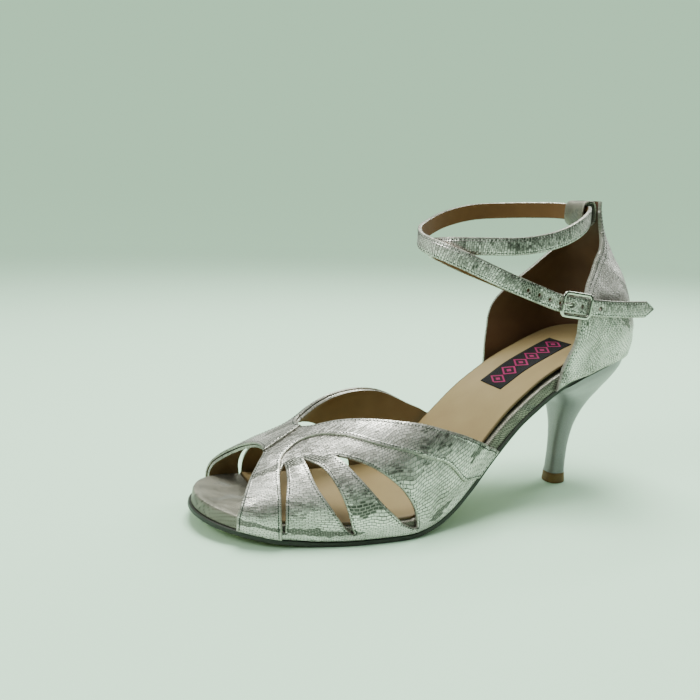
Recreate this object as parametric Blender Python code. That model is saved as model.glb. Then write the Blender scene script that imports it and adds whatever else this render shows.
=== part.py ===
"""Ballroom dance shoe for the left foot: peep toe vamp with leaf cut-outs, closed heel counter,
crossed ankle strap with a buckle and a slim flared heel.

Frame: +X from toe to heel, +Y to the inner (medial) side of the foot, +Z up. The origin lies on
the floor under the middle of the tread. Lengths are metres. A table holds shares of the named
size that its heading gives, one row for each section or corner.
"""
import math

import bmesh
import bpy
import numpy as np
from mathutils.geometry import delaunay_2d_cdt

MM = 0.001

# Driving sizes
LENGTH = 233.0 * MM
TREAD_FROM_TOE = 75.5 * MM
BALL_WIDTH = 77.6 * MM
SEAT_HEIGHT = 75.5 * MM
TOE_SPRING = 7.4 * MM
INSTEP_HEIGHT = 84.0 * MM
TOE_ROUND = 34.0 * MM
HEEL_ROUND = 27.0 * MM
CLEARANCE = 0.3 * MM

# Bottom
SOLE_THICKNESS = 2.4 * MM
SOLE_MARGIN = 1.2 * MM
PLATFORM_THICKNESS = 6.0 * MM
PLATFORM_EDGE = 1.2 * MM
SOCK_THICKNESS = 1.0 * MM
SOCK_INSET = 2.0 * MM
SOCK_START = -45.0 * MM
LABEL_LENGTH = 41.0 * MM
LABEL_WIDTH = 19.0 * MM
LABEL_THICKNESS = 0.4 * MM
LABEL_AHEAD = 48.8 * MM
LABEL_ASIDE = 2.8 * MM

# Upper
VAMP_WALL = 1.4 * MM
VAMP_EASE = 0.6 * MM
BAND_EASE = 0.6 * MM
BAND_THICKNESS = 0.9 * MM
COUNTER_WALL = 1.8 * MM
COUNTER_TOP = 154.0 * MM
COUNTER_FOOT = 0.5 * MM
CROWN_LEAN = 6.0 * MM
VAMP_FULLNESS = 0.045
LEAN_RUN = (-45.0 * MM, -8.0 * MM)
WALL_SHARE = 0.86
GIRTH_SCALE = 90.0 * MM

# Heel
HEEL_INSET = 31.1 * MM
HEEL_TIP_HEIGHT = 5.4 * MM
HEEL_STEM_DEPTH = 10.8 * MM
HEEL_STEM_WIDTH = 11.0 * MM
BREAST_AHEAD = 53.5 * MM

# Ankle strap, its loop and buckle
STRAP_WIDTH = 8.4 * MM
STRAP_THICKNESS = 1.8 * MM
STRAP_POINT = 6.0 * MM
HOLE_RADIUS = 1.3 * MM
HOLE_PITCH = 6.2 * MM
HOLES_BEFORE_PRONG = 4
HOLES_AFTER_PRONG = 3
TIP_FLARE = 0.4 * MM
CENTRE_BAR_RADIUS = 0.7 * MM
RAIL_SET_IN = 0.4 * MM
PRONG_HOLE_AHEAD = 3.0 * MM
TAB_THICKNESS = 1.2 * MM
TAB_EASE = 1.2 * MM
STRAP_EDGE_STEP = 4.2 * MM
STRAP_FACE_STEP = 9.0 * MM
LOOP_WIDTH = 15.0 * MM
LOOP_DEPTH = 9.4 * MM
LOOP_HEIGHT = 13.0 * MM
LOOP_WALL = 1.2 * MM
LOOP_SET_IN = 1.2 * MM
BUCKLE_LENGTH = 18.4 * MM
BUCKLE_HEIGHT = 12.8 * MM
BUCKLE_BAR = 1.8 * MM
BUCKLE_DEPTH = 1.2 * MM
PRONG_RADIUS = 0.6 * MM
BUCKLE_CENTRE = (-0.3552, -0.2396, 0.6786)
BUCKLE_AHEAD = np.array([0.987, 0.000, -0.150])

# Spacing of the points on the pieces' edges and faces
EDGE_STEP = 5.0 * MM
FACE_STEP = 7.5 * MM

# Underside of the outsole from the side. Columns: distance behind the toe as a share of LENGTH,
# height as a share of TOE_SPRING ahead of the tread and of SEAT_HEIGHT behind it
TOE_RISE = ((-0.020, 1.050), (0.058, 0.620), (0.135, 0.240), (0.213, 0.034), (0.264, 0.0))
ARCH_RISE = ((0.384, 0.0), (0.436, 0.021), (0.487, 0.087), (0.538, 0.205), (0.599, 0.384),
             (0.676, 0.587), (0.723, 0.682), (0.761, 0.755), (0.818, 0.838), (0.861, 0.894),
             (0.925, 0.958), (0.968, 0.984), (1.011, 1.0), (1.040, 1.005))

# Sole from above. Columns: distance behind the toe as a share of LENGTH, centre line's offset
# and half width as shares of BALL_WIDTH
PLAN = ((-0.020, 0.090, 0.420), (0.058, 0.075, 0.432), (0.135, 0.042, 0.456),
        (0.213, 0.0, 0.479), (0.291, -0.032, 0.497), (0.375, -0.049, 0.500),
        (0.452, -0.049, 0.464), (0.530, -0.041, 0.418), (0.599, -0.031, 0.384),
        (0.676, -0.015, 0.361), (0.770, 0.0, 0.345), (0.882, 0.005, 0.340), (1.050, 0.0, 0.340))

# Ridge of the vamp from the side. Columns: distance behind the toe as a share of LENGTH, height
# as a share of INSTEP_HEIGHT
CROWN = ((-0.020, 0.195), (0.058, 0.275), (0.139, 0.385), (0.230, 0.503), (0.358, 0.702),
         (0.452, 0.807), (0.538, 0.893), (0.624, 1.0))

# The vamp's pattern. Columns: place across, from -1 at the outer sole edge over 0 at the ridge
# to 1 at the inner sole edge, and distance behind the tread as a share of LENGTH
TOE_EDGE = ((-1.0, -0.262), (-0.775, -0.258), (-0.540, -0.245), (-0.332, -0.223),
            (-0.214, -0.202), (-0.108, -0.181), (0.080, -0.184), (0.212, -0.202),
            (0.368, -0.229), (0.540, -0.249), (0.775, -0.259), (1.0, -0.262))
THROAT_EDGE = ((1.0, 0.279), (0.900, 0.264), (0.663, 0.196), (0.488, 0.128), (0.327, 0.014),
               (0.255, -0.034), (0.129, -0.088), (-0.022, -0.096), (-0.170, -0.042),
               (-0.346, 0.028), (-0.512, 0.124), (-0.688, 0.204), (-0.912, 0.266), (-1.0, 0.279))
BAND_SEAM = ((-1.0, -0.189), (-0.650, -0.187), (-0.332, -0.170), (-0.258, -0.160),
             (-0.199, -0.139), (-0.170, -0.112), (-0.199, -0.084), (-0.287, -0.054),
             (-0.475, 0.006), (-0.600, 0.082), (-0.712, 0.147),
             (-0.830, 0.181), (-1.0, 0.228))
BAND_SPLIT = ((-0.108, -0.181), (-0.022, -0.096))
SLIT_FRONT = ((-0.300, -0.162), (-0.345, -0.171), (-0.650, -0.190), (-0.930, -0.187))
SLIT_BACK = ((-0.930, -0.184), (-0.662, -0.180), (-0.345, -0.163), (-0.300, -0.162))
LEAF_FRONT = ((-0.326, -0.127), (-0.587, -0.118), (-0.762, -0.092), (-0.925, -0.060))
LEAF_BACK = ((-0.925, -0.056), (-0.738, -0.071), (-0.600, -0.085), (-0.445, -0.103),
             (-0.326, -0.127))
BROAD_LEAF_FRONT = ((-0.405, -0.073), (-0.600, -0.040), (-0.762, 0.002), (-0.863, 0.042),
                    (-0.940, 0.067))
BROAD_LEAF_BACK = ((-0.940, 0.073), (-0.825, 0.068), (-0.738, 0.047), (-0.650, 0.015),
                   (-0.527, -0.030), (-0.405, -0.073))

# Heel counter. Columns: height as a share of COUNTER_TOP, place of its back behind the end of
# the seat, gain of its half width over the sole's and depth of its round back, as shares of
# HEEL_ROUND
COUNTER_SHAPE = ((0.360, -0.003, 0.000, 1.000), (0.455, 0.007, 0.000, 1.000),
                 (0.500, 0.032, 0.030, 1.000), (0.545, 0.067, 0.080, 1.020),
                 (0.580, 0.052, 0.110, 1.050), (0.630, -0.033, 0.120, 1.050),
                 (0.680, -0.113, 0.060, 1.000), (0.750, -0.223, -0.160, 0.800),
                 (0.820, -0.433, -0.370, 0.600), (0.887, -0.633, -0.530, 0.360),
                 (0.930, -0.728, -0.610, 0.200), (0.965, -0.783, -0.640, 0.130),
                 (1.000, -0.798, -0.655, 0.100))

# Front edges of the counter, outer and inner side. Columns: height as a share of COUNTER_TOP,
# distance ahead of the end of the seat as a share of HEEL_ROUND
COUNTER_OUTER_EDGE = ((0.386, 2.079), (0.435, 2.010), (0.506, 1.864), (0.580, 1.795),
                      (0.630, 1.786), (0.700, 1.613), (0.790, 1.208), (0.880, 0.871),
                      (0.950, 0.863), (1.000, 0.880))
COUNTER_INNER_EDGE = ((0.360, 2.407), (0.435, 2.356), (0.500, 2.338), (0.580, 2.312),
                      (0.646, 2.079), (0.717, 1.700), (0.790, 1.329), (0.880, 0.906),
                      (0.950, 0.863), (1.000, 0.880))

# Heel block from the seat down. Columns: drop below the sole as a share of SEAT_HEIGHT, front
# and back edge behind the heel tip's centre and half width as shares of HEEL_ROUND, share of
# the sole's slope that the section keeps, power of the front corners
HEEL_SECTIONS = ((0.000, -0.84, 1.14, 1.000, 1.0, 7.0),
                 (0.045, -0.74, 1.12, 0.960, 1.0, 6.0),
                 (0.120, -0.54, 0.98, 0.830, 0.9, 4.5),
                 (0.205, -0.35, 0.77, 0.640, 0.7, 3.6),
                 (0.295, -0.22, 0.55, 0.460, 0.4, 3.0),
                 (0.385, -0.16, 0.385, 0.340, 0.15, 2.8),
                 (0.500, -0.14, 0.27, 0.250, 0.0, 2.6),
                 (0.640, -0.15, 0.21, 0.205, 0.0, 2.5),
                 (0.780, -0.18, 0.195, 0.195, 0.0, 2.5))

# Prong from the centre bar to the front bar. Columns: distance ahead of the centre bar as a
# share of the front bar's, rise as a share of the whole rise
PRONG_ROUTE = ((0.26, 0.15), (0.37, 0.50), (0.54, 0.92), (0.79, 1.0), (1.05, 1.0))

# Ankle strap's middle line as shares of COUNTER_TOP: behind the end of the seat, towards the
# inner side and above the floor. It runs from the seam inside the counter forward, round the
# front, back through the loop, round again and down to the buckle
STRAP_TO_BUCKLE = ((-0.2695, 0.1571, 0.6753), (-0.3409, 0.1597, 0.6987),
                   (-0.4643, 0.1494, 0.7416), (-0.5617, 0.1299, 0.7753),
                   (-0.6656, 0.0870, 0.8117), (-0.7338, 0.0357, 0.8338),
                   (-0.7578, -0.0162, 0.8455), (-0.7435, -0.0636, 0.8519),
                   (-0.7110, -0.1013, 0.8545), (-0.6526, -0.1364, 0.8558),
                   (-0.5032, -0.1688, 0.8604), (-0.3539, -0.1578, 0.8896),
                   (-0.2727, -0.1318, 0.9208), (-0.2136, -0.0877, 0.9468),
                   (-0.1838, -0.0429, 0.9565), (-0.1760, 0.0000, 0.9597),
                   (-0.1838, 0.0429, 0.9610), (-0.2149, 0.0857, 0.9636),
                   (-0.2799, 0.1299, 0.9623), (-0.3864, 0.1682, 0.9578),
                   (-0.5032, 0.1753, 0.9494), (-0.6006, 0.1578, 0.9312),
                   (-0.7136, 0.1013, 0.8981), (-0.7682, 0.0532, 0.8779),
                   (-0.7877, 0.0000, 0.8610), (-0.7812, -0.0442, 0.8494),
                   (-0.7565, -0.0909, 0.8351), (-0.7065, -0.1429, 0.8097),
                   (-0.6422, -0.1773, 0.7779), (-0.5721, -0.2006, 0.7468),
                   (-0.4903, -0.2208, 0.7143))
STRAP_TAIL = ((-0.1916, -0.2260, 0.6597), (-0.1071, -0.2208, 0.6558), (-0.0195, -0.2130, 0.6545))


def curve(rows, value=1):
    """Return a smooth function through rows (position, value): cubic pieces, no overshoot."""
    xs = np.array([row[0] for row in rows], float)
    ys = np.array([row[value] for row in rows], float)
    step = np.diff(xs)
    slope = np.diff(ys) / step
    tangent = np.zeros(len(xs))
    for i in range(1, len(xs) - 1):
        if slope[i - 1] * slope[i] > 0:
            near = 2 * step[i] + step[i - 1]
            far = step[i] + 2 * step[i - 1]
            tangent[i] = (near + far) / (near / slope[i - 1] + far / slope[i])
    tangent[0] = slope[0]
    tangent[-1] = slope[-1]

    def evaluate(x):
        x = np.clip(np.asarray(x, float), xs[0], xs[-1])
        i = np.clip(np.searchsorted(xs, x) - 1, 0, len(xs) - 2)
        t = (x - xs[i]) / step[i]
        return ((2 * t**3 - 3 * t**2 + 1) * ys[i] + (t**3 - 2 * t**2 + t) * step[i] * tangent[i]
                + (3 * t**2 - 2 * t**3) * ys[i + 1] + (t**3 - t**2) * step[i] * tangent[i + 1])
    return evaluate


def spline(points, count=160):
    """Smooth run through points in the plane or in space: cubic pieces by chord length."""
    points = np.array(points, float)
    t = np.concatenate([[0.0], np.cumsum(np.linalg.norm(np.diff(points, axis=0), axis=1))])
    tangent = np.gradient(points, t, axis=0)
    s = np.linspace(0.0, t[-1], count)
    i = np.clip(np.searchsorted(t, s) - 1, 0, len(t) - 2)
    h = (t[i + 1] - t[i])[:, None]
    u = (s - t[i])[:, None] / h
    return ((2 * u**3 - 3 * u**2 + 1) * points[i] + (u**3 - 2 * u**2 + u) * h * tangent[i]
            + (3 * u**2 - 2 * u**3) * points[i + 1] + (u**3 - u**2) * h * tangent[i + 1])


def resample(points, step):
    """The same run with evenly spaced points about step apart, both ends kept."""
    points = np.asarray(points, float)
    t = np.concatenate([[0.0], np.cumsum(np.linalg.norm(np.diff(points, axis=0), axis=1))])
    count = max(2, int(math.ceil(t[-1] / step)) + 1)
    s = np.linspace(0.0, t[-1], count)
    return np.stack([np.interp(s, t, points[:, k]) for k in range(points.shape[1])], 1)


def closed_loop(runs, step=EDGE_STEP):
    """Join runs end to end into one closed outline, with a corner wherever two runs meet."""
    return np.concatenate([resample(run, step)[:-1] for run in runs])


# Sole profile and plan

def behind_toe(share):
    """Place along X of a share of the length, measured from the toe."""
    return share * LENGTH - TREAD_FROM_TOE


floor_height = curve([(behind_toe(s), z * TOE_SPRING) for s, z in TOE_RISE]
                     + [(behind_toe(s), z * SEAT_HEIGHT) for s, z in ARCH_RISE])
centre_line = curve([(behind_toe(s), c * BALL_WIDTH) for s, c, w in PLAN])
free_width = curve([(behind_toe(s), w * BALL_WIDTH) for s, c, w in PLAN])
crown_height = curve([(behind_toe(s), z * INSTEP_HEIGHT) for s, z in CROWN])

TOE_X = behind_toe(0.0)
HEEL_X = behind_toe(1.0)
HEEL_CENTRE_X = HEEL_X - HEEL_INSET
BREAST_X = HEEL_X - BREAST_AHEAD
PLATFORM_LOW = SOLE_THICKNESS + CLEARANCE
PLATFORM_TOP = PLATFORM_LOW + PLATFORM_THICKNESS
SOCK_LOW = PLATFORM_TOP + CLEARANCE
SOCK_TOP = SOCK_LOW + SOCK_THICKNESS


def half_width(x):
    """Half width of the platform: w(x) (1 - a^2.2)^0.5 (1 - b^2.2)^0.5 with a and b running
    from 0 to 1 over the rounded toe and the rounded heel."""
    toe = np.clip((TOE_X + TOE_ROUND - x) / TOE_ROUND, 0, 1)
    heel = np.clip((x - HEEL_X + HEEL_ROUND) / HEEL_ROUND, 0, 1)
    return free_width(x) * np.sqrt(1 - toe**2.2) * np.sqrt(1 - heel**2.2)


def slope_angle(x):
    """Slope of the underside at x, in radians."""
    small = 0.5 * MM
    return np.arctan2(floor_height(x + small) - floor_height(x - small), 2 * small)


def lift(points, level):
    """Place plan points (x, y) at a distance above the underside, measured square to it."""
    angle = slope_angle(points[:, 0])
    return np.stack([points[:, 0] - level * np.sin(angle), points[:, 1],
                     floor_height(points[:, 0]) + level * np.cos(angle)], 1)


def level_line(level):
    """Height and plan place, as functions of x, of the line at a level above the underside."""
    plan = np.linspace(TOE_X - 2 * MM, HEEL_X + 2 * MM, 600)
    line = lift(np.stack([plan, 0 * plan], 1), level)
    return (lambda x: np.interp(x, line[:, 0], line[:, 2]),
            lambda x: np.interp(x, line[:, 0], plan))


sole_top_height, sole_top_plan = level_line(PLATFORM_LOW)
platform_top_height, platform_top_plan = level_line(PLATFORM_TOP)


def side_run(side, start, end, margin):
    """One side of the plan outline from x = start to x = end, moved outwards by margin(x)."""
    turn = np.linspace(0, math.pi, 400)
    x = TOE_X + (HEEL_X - TOE_X) * (1 - np.cos(turn)) / 2
    y = centre_line(x) + side * half_width(x)
    dx, dy = np.gradient(x), np.gradient(y)
    size = np.hypot(dx, dy)
    out = margin(x)
    run = np.stack([x - side * out * dy / size, y + side * out * dx / size], 1)
    run[0] = (TOE_X - out[0], centre_line(TOE_X))
    run[-1] = (HEEL_X + out[-1], centre_line(HEEL_X))
    run = run[(run[:, 0] > start) & (run[:, 0] < end)] if start > TOE_X else run
    return run


def plan_outline(margin, start=None):
    """Closed plan outline at a margin outside the platform, cut off square ahead of start."""
    begin = TOE_X - 1 if start is None else start
    outer = side_run(-1, begin, 1.0, margin)
    inner = side_run(1, begin, 1.0, margin)[::-1]
    if start is None:
        return closed_loop([outer, inner])
    return closed_loop([outer, inner, np.stack([inner[-1], outer[0]])])


# Solids

def inside(points, loop):
    """True for each point within a closed loop, by counting the edges crossed."""
    x, y = points[:, 0], points[:, 1]
    hit = np.zeros(len(points), bool)
    for (x0, y0), (x1, y1) in zip(loop, np.roll(loop, -1, axis=0)):
        if y0 == y1:
            continue
        crosses = (y0 > y) != (y1 > y)
        hit ^= crosses & (x < (x1 - x0) * (y - y0) / (y1 - y0) + x0)
    return hit


def triangulate(outline, holes, step):
    """Points and triangles that fill an outline with holes, on a grid of even spacing."""
    low, high = outline.min(axis=0), outline.max(axis=0)
    rows = np.arange(low[1] + step / 2, high[1], step * 0.87)
    grid = np.array([(x + (j % 2) * step / 2, y) for j, y in enumerate(rows)
                     for x in np.arange(low[0], high[0], step)]).reshape(-1, 2)
    loops = [outline] + list(holes)
    edge_points = np.concatenate(loops)
    keep = inside(grid, outline)
    for hole in holes:
        keep &= ~inside(grid, hole)
    grid = grid[keep]
    if len(grid):
        near = np.min(np.linalg.norm(grid[:, None] - edge_points[None], axis=2), axis=1)
        grid = grid[near > 0.62 * step]
    points = np.concatenate([edge_points, grid])
    edges = []
    first = 0
    for loop in loops:
        edges += [(first + k, first + (k + 1) % len(loop)) for k in range(len(loop))]
        first += len(loop)
    flat = [tuple(p * 1000) for p in points]
    verts, _, faces, _, _, _ = delaunay_2d_cdt(flat, edges, [], 0, 1e-5)
    verts = np.array([(v[0], v[1]) for v in verts]) / 1000
    faces = np.array([tuple(f) for f in faces])
    middle = verts[faces].mean(axis=1)
    keep = inside(middle, outline)
    for hole in holes:
        keep &= ~inside(middle, hole)
    faces = faces[keep]
    used = np.unique(faces)
    number = -np.ones(len(verts), int)
    number[used] = np.arange(len(used))
    return verts[used], number[faces]


def sheet_solid(name, outline, holes, place, rings, material, step=FACE_STEP):
    """One closed solid from a flat pattern. The pattern's outline and holes are filled with
    triangles, placed on the first and the last ring's surface by place(points, level), and its
    edges are joined through the rings between. A ring is (inset, level): how far the edge is
    drawn in, and how far out the surface lies."""
    verts, faces = triangulate(outline, holes, step)
    a, b, c = verts[faces[:, 0]], verts[faces[:, 1]], verts[faces[:, 2]]
    turn = (b[:, 0] - a[:, 0]) * (c[:, 1] - a[:, 1]) - (b[:, 1] - a[:, 1]) * (c[:, 0] - a[:, 0])
    faces = np.where((turn > 0)[:, None], faces, faces[:, ::-1])
    seen = {}
    for face in faces:
        for k in range(3):
            seen[(face[k], face[(k + 1) % 3])] = True
    rim = {i: j for i, j in seen if (j, i) not in seen}
    before = {j: i for i, j in rim.items()}
    inward = np.zeros_like(verts)
    for i, j in rim.items():
        along = verts[j] - verts[before[i]]
        inward[i] = np.array([-along[1], along[0]]) / np.linalg.norm(along)
    layers = [place(verts + inset * inward, level) for inset, level in rings]
    mesh = bpy.data.meshes.new(name)
    solid = bmesh.new()
    bottom = [solid.verts.new(p) for p in layers[0]]
    top = [solid.verts.new(p) for p in layers[-1]]
    middle = [{i: solid.verts.new(layer[i]) for i in rim} for layer in layers[1:-1]]
    for face in faces:
        solid.faces.new([bottom[i] for i in face[::-1]])
        solid.faces.new([top[i] for i in face])
    stack = [bottom] + middle + [top]
    for low, high in zip(stack[:-1], stack[1:]):
        for i, j in rim.items():
            solid.faces.new([low[i], low[j], high[j], high[i]])
    bmesh.ops.triangulate(solid, faces=solid.faces[:])
    bmesh.ops.recalc_face_normals(solid, faces=solid.faces[:])
    solid.to_mesh(mesh)
    solid.free()
    return finish(name, mesh, material)


def loft_solid(name, rings, material):
    """Closed solid through rings of equally many points, each end closed by a fan."""
    mesh = bpy.data.meshes.new(name)
    solid = bmesh.new()
    stack = [[solid.verts.new(p) for p in ring] for ring in rings]
    for low, high in zip(stack[:-1], stack[1:]):
        for i in range(len(low)):
            j = (i + 1) % len(low)
            solid.faces.new([low[i], low[j], high[j], high[i]])
    for end in (stack[0], stack[-1]):
        hub = solid.verts.new(np.mean([list(v.co) for v in end], axis=0))
        for i in range(len(end)):
            solid.faces.new([end[i], end[(i + 1) % len(end)], hub])
    bmesh.ops.triangulate(solid, faces=solid.faces[:])
    bmesh.ops.recalc_face_normals(solid, faces=solid.faces[:])
    solid.to_mesh(mesh)
    solid.free()
    return finish(name, mesh, material)


def finish(name, mesh, material):
    """Link an object for the mesh, with its material and smooth faces between sharp edges."""
    mesh.materials.append(material)
    mesh.shade_smooth()
    mesh.set_sharp_from_angle(angle=math.radians(40))
    obj = bpy.data.objects.new(name, mesh)
    bpy.context.scene.collection.objects.link(obj)
    return obj


def make_material(name, colour, roughness, metallic):
    """Plain Principled material."""
    material = bpy.data.materials.new(name)
    material.use_nodes = True
    shader = material.node_tree.nodes["Principled BSDF"]
    shader.inputs["Base Color"].default_value = (*colour, 1.0)
    shader.inputs["Roughness"].default_value = roughness
    shader.inputs["Metallic"].default_value = metallic
    return material


# Vamp surface

def offset_surface(surface, across, along, level):
    """Points of surface(across, along) moved out along its normal by level."""
    da, dx = 0.002, 0.3 * MM
    point = surface(across, along)
    normal = np.cross(surface(across, along + dx) - surface(across, along - dx),
                      surface(across + da, along) - surface(across - da, along))
    normal /= np.linalg.norm(normal, axis=1)[:, None] + 1e-15
    return point + level * normal


def last_surface(across, x):
    """Inner face of the vamp. From the ridge (across 0) to WALL_SHARE it is an arch,
    y = w (cos t - f cos 3t) / (1 - f) and z = h (sin t + f sin 3t) / (1 - f), leaning to
    the inner side, which grows from flat to full over LEAN_RUN. Below the arch it drops
    beside the platform to the sole."""
    share = np.abs(across)
    side = np.where(across < 0, -1.0, 1.0)
    t = np.clip(1 - share / WALL_SHARE, 0, 1) * math.pi / 2
    drop = np.clip((share - WALL_SHARE) / (1 - WALL_SHARE), 0, 1)
    top = platform_top_height(x)
    foot = sole_top_height(x) + CLEARANCE
    plan = platform_top_plan(x) + drop * (sole_top_plan(x) - platform_top_plan(x))
    width = half_width(plan) + VAMP_EASE
    grown = np.clip((x - LEAN_RUN[0]) / (LEAN_RUN[1] - LEAN_RUN[0]), 0, 1)
    full = VAMP_FULLNESS * np.where(across < 0, 1.0, grown)
    y = (centre_line(plan) + side * width * (np.cos(t) - full * np.cos(3 * t)) / (1 - full)
         + CROWN_LEAN * (0.7 + 0.3 * grown) * np.sin(t)**2)
    z = top + (crown_height(x) - top) * (np.sin(t) + full * np.sin(3 * t)) / (1 - full)
    return np.stack([x, y, z - drop * (top - foot)], 1)


def place_vamp(points, level):
    """Pattern point (across * GIRTH_SCALE, along) on the last, level out from its face."""
    return offset_surface(last_surface, points[:, 0] / GIRTH_SCALE, points[:, 1], level)


def vamp_run(rows, side=1):
    """Smooth run through pattern rows (across, share of LENGTH); side -1 mirrors it."""
    return spline([(side * g * GIRTH_SCALE, s * LENGTH) for g, s in rows])


def vamp_cutouts():
    """The slit and the two leaves on both sides of the vamp."""
    pairs = ((SLIT_FRONT, SLIT_BACK), (LEAF_FRONT, LEAF_BACK), (BROAD_LEAF_FRONT, BROAD_LEAF_BACK))
    return [closed_loop([vamp_run(front, side), vamp_run(back, side)])
            for side in (1, -1) for front, back in pairs]


def build_vamp(material):
    """Whole vamp wall with its toe opening, throat and six cut-outs."""
    toe = vamp_run(TOE_EDGE)
    throat = vamp_run(THROAT_EDGE)
    outline = closed_loop([toe, np.stack([toe[-1], throat[0]]), throat,
                           np.stack([throat[-1], toe[0]])])
    sheet_solid("vamp", outline, vamp_cutouts(), place_vamp,
                [(0, 0), (0, VAMP_WALL)], material)


def cut_run(run, at):
    """Part of a run up to the point nearest to at."""
    return run[:int(np.argmin(np.linalg.norm(run - at, axis=1))) + 1]


def build_bands(material):
    """Arch bands laid on the vamp along its toe opening and throat. The inner side's band
    reaches over the ridge to the split line, where the outer side's band meets it."""
    toe = vamp_run(TOE_EDGE)
    throat = vamp_run(THROAT_EDGE)
    split = np.array([(g * GIRTH_SCALE, s * LENGTH) for g, s in BAND_SPLIT])
    gap = np.array([CLEARANCE, 0.0]) / 2
    low = VAMP_WALL + BAND_EASE
    rings = [(0, low), (0, low + BAND_THICKNESS)]
    for name, side in (("vamp_band_lateral", 1), ("vamp_band_medial", -1)):
        seam = vamp_run(BAND_SEAM, side)
        if side == 1:
            front = cut_run(toe, split[0])
            back = cut_run(throat[::-1], split[1])
        else:
            front = cut_run(toe[::-1], split[0])
            back = cut_run(throat, split[1])
        front = np.concatenate([front[:-1], [split[0] - side * gap]])
        back = np.concatenate([back[:-1], [split[1] - side * gap]])
        outline = closed_loop([front, np.stack([front[-1], back[-1]]), back[::-1],
                               np.stack([back[0], seam[-1]]), seam[::-1],
                               np.stack([seam[0], front[0]])])
        sheet_solid(name, outline, [], place_vamp, rings, material)


# Heel counter surface

counter_back = curve([(h * COUNTER_TOP, HEEL_X + b * HEEL_ROUND) for h, b, g, d in COUNTER_SHAPE])
counter_gain = curve([(h * COUNTER_TOP, g * HEEL_ROUND) for h, b, g, d in COUNTER_SHAPE])
counter_depth = curve([(h * COUNTER_TOP, d * HEEL_ROUND) for h, b, g, d in COUNTER_SHAPE])


def counter_surface(around, z):
    """Inner face of the counter: at each height a U open to the front. around runs in metres
    from 0 at the back seam, below 0 on the outer side. The round back is a superellipse of
    power 2.2, and the sides run straight on from it."""
    side = np.where(around < 0, -1.0, 1.0)
    back = counter_back(z)
    deep = counter_depth(z)
    quarter = (deep + HEEL_ROUND + counter_gain(z)) * math.pi / 4
    t = np.clip(np.abs(around) / quarter, 0, 1) * math.pi / 2
    ahead = np.maximum(np.abs(around) - quarter, 0)
    x = back - deep + deep * np.cos(t)**(2 / 2.2) - ahead
    width = free_width(x) + CLEARANCE + counter_gain(z)
    y = centre_line(x) + side * width * np.sin(t)**(2 / 2.2)
    return np.stack([x, y, z], 1)


def place_counter(points, level):
    """Counter pattern point (around, z), level out from the inner face."""
    around, z = points[:, 0], points[:, 1]
    da, dz = 0.3 * MM, 0.3 * MM
    normal = np.cross(counter_surface(around + da, z) - counter_surface(around - da, z),
                      counter_surface(around, z + dz) - counter_surface(around, z - dz))
    normal /= np.linalg.norm(normal, axis=1)[:, None]
    return counter_surface(around, z) + level * normal


def around_at(x, z, side):
    """Pattern place on the counter of the point at x on the given side."""
    trial = side * np.linspace(0, 0.6 * LENGTH, 1400)
    found = counter_surface(trial, np.full(len(trial), z))
    return trial[int(np.argmin(np.abs(found[:, 0] - x)))]


def counter_foot(side):
    """Lower edge of the counter on one side, from the back seam forward: at the underside
    behind the breast, rising above the outsole ahead of it."""
    rows = COUNTER_INNER_EDGE if side > 0 else COUNTER_OUTER_EDGE
    front = HEEL_X - rows[0][1] * HEEL_ROUND
    run = []
    for x in np.linspace(counter_back(SEAT_HEIGHT) - 0.2 * MM, front, 60):
        rise = np.clip((BREAST_X + 0.67 * HEEL_ROUND - x) / (0.44 * HEEL_ROUND), 0, 1)
        level = COUNTER_FOOT + (PLATFORM_LOW - COUNTER_FOOT) * rise
        plan = x + level * math.sin(float(slope_angle(x)))
        z = float(floor_height(plan)) + level * math.cos(float(slope_angle(plan)))
        run.append((around_at(x, z, side), z))
    run[0] = (0.0, run[0][1])
    return np.array(run)


def build_counter(material):
    """Closed heel counter, its top narrowed to the tab behind the strap's loop."""
    sides = {}
    for side, rows in ((-1, COUNTER_OUTER_EDGE), (1, COUNTER_INNER_EDGE)):
        foot = counter_foot(side)
        edge = [foot[-1]]
        for h, s in rows[1:]:
            z = h * COUNTER_TOP
            edge.append((around_at(HEEL_X - s * HEEL_ROUND, z, side), z))
        sides[side] = (foot, spline(edge))
    outer_foot, outer_edge = sides[-1]
    inner_foot, inner_edge = sides[1]
    outline = closed_loop([inner_foot, inner_edge,
                           np.stack([inner_edge[-1], outer_edge[-1]]),
                           outer_edge[::-1], outer_foot[::-1]])
    sheet_solid("heel_counter", outline, [], place_counter,
                [(0, 0), (0, COUNTER_WALL)], material, step=FACE_STEP)


# Bottom pieces

def sole_margin(x):
    """Outsole margin: full round the forefoot, half at the waist, none inside the counter."""
    waist = np.clip((x - 0.24 * LENGTH) / (0.11 * LENGTH), 0, 1)
    seat = np.clip((x - BREAST_X) / (0.22 * HEEL_ROUND), 0, 1)
    return SOLE_MARGIN * (1 - 0.5 * waist) * (1 - seat)


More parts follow.
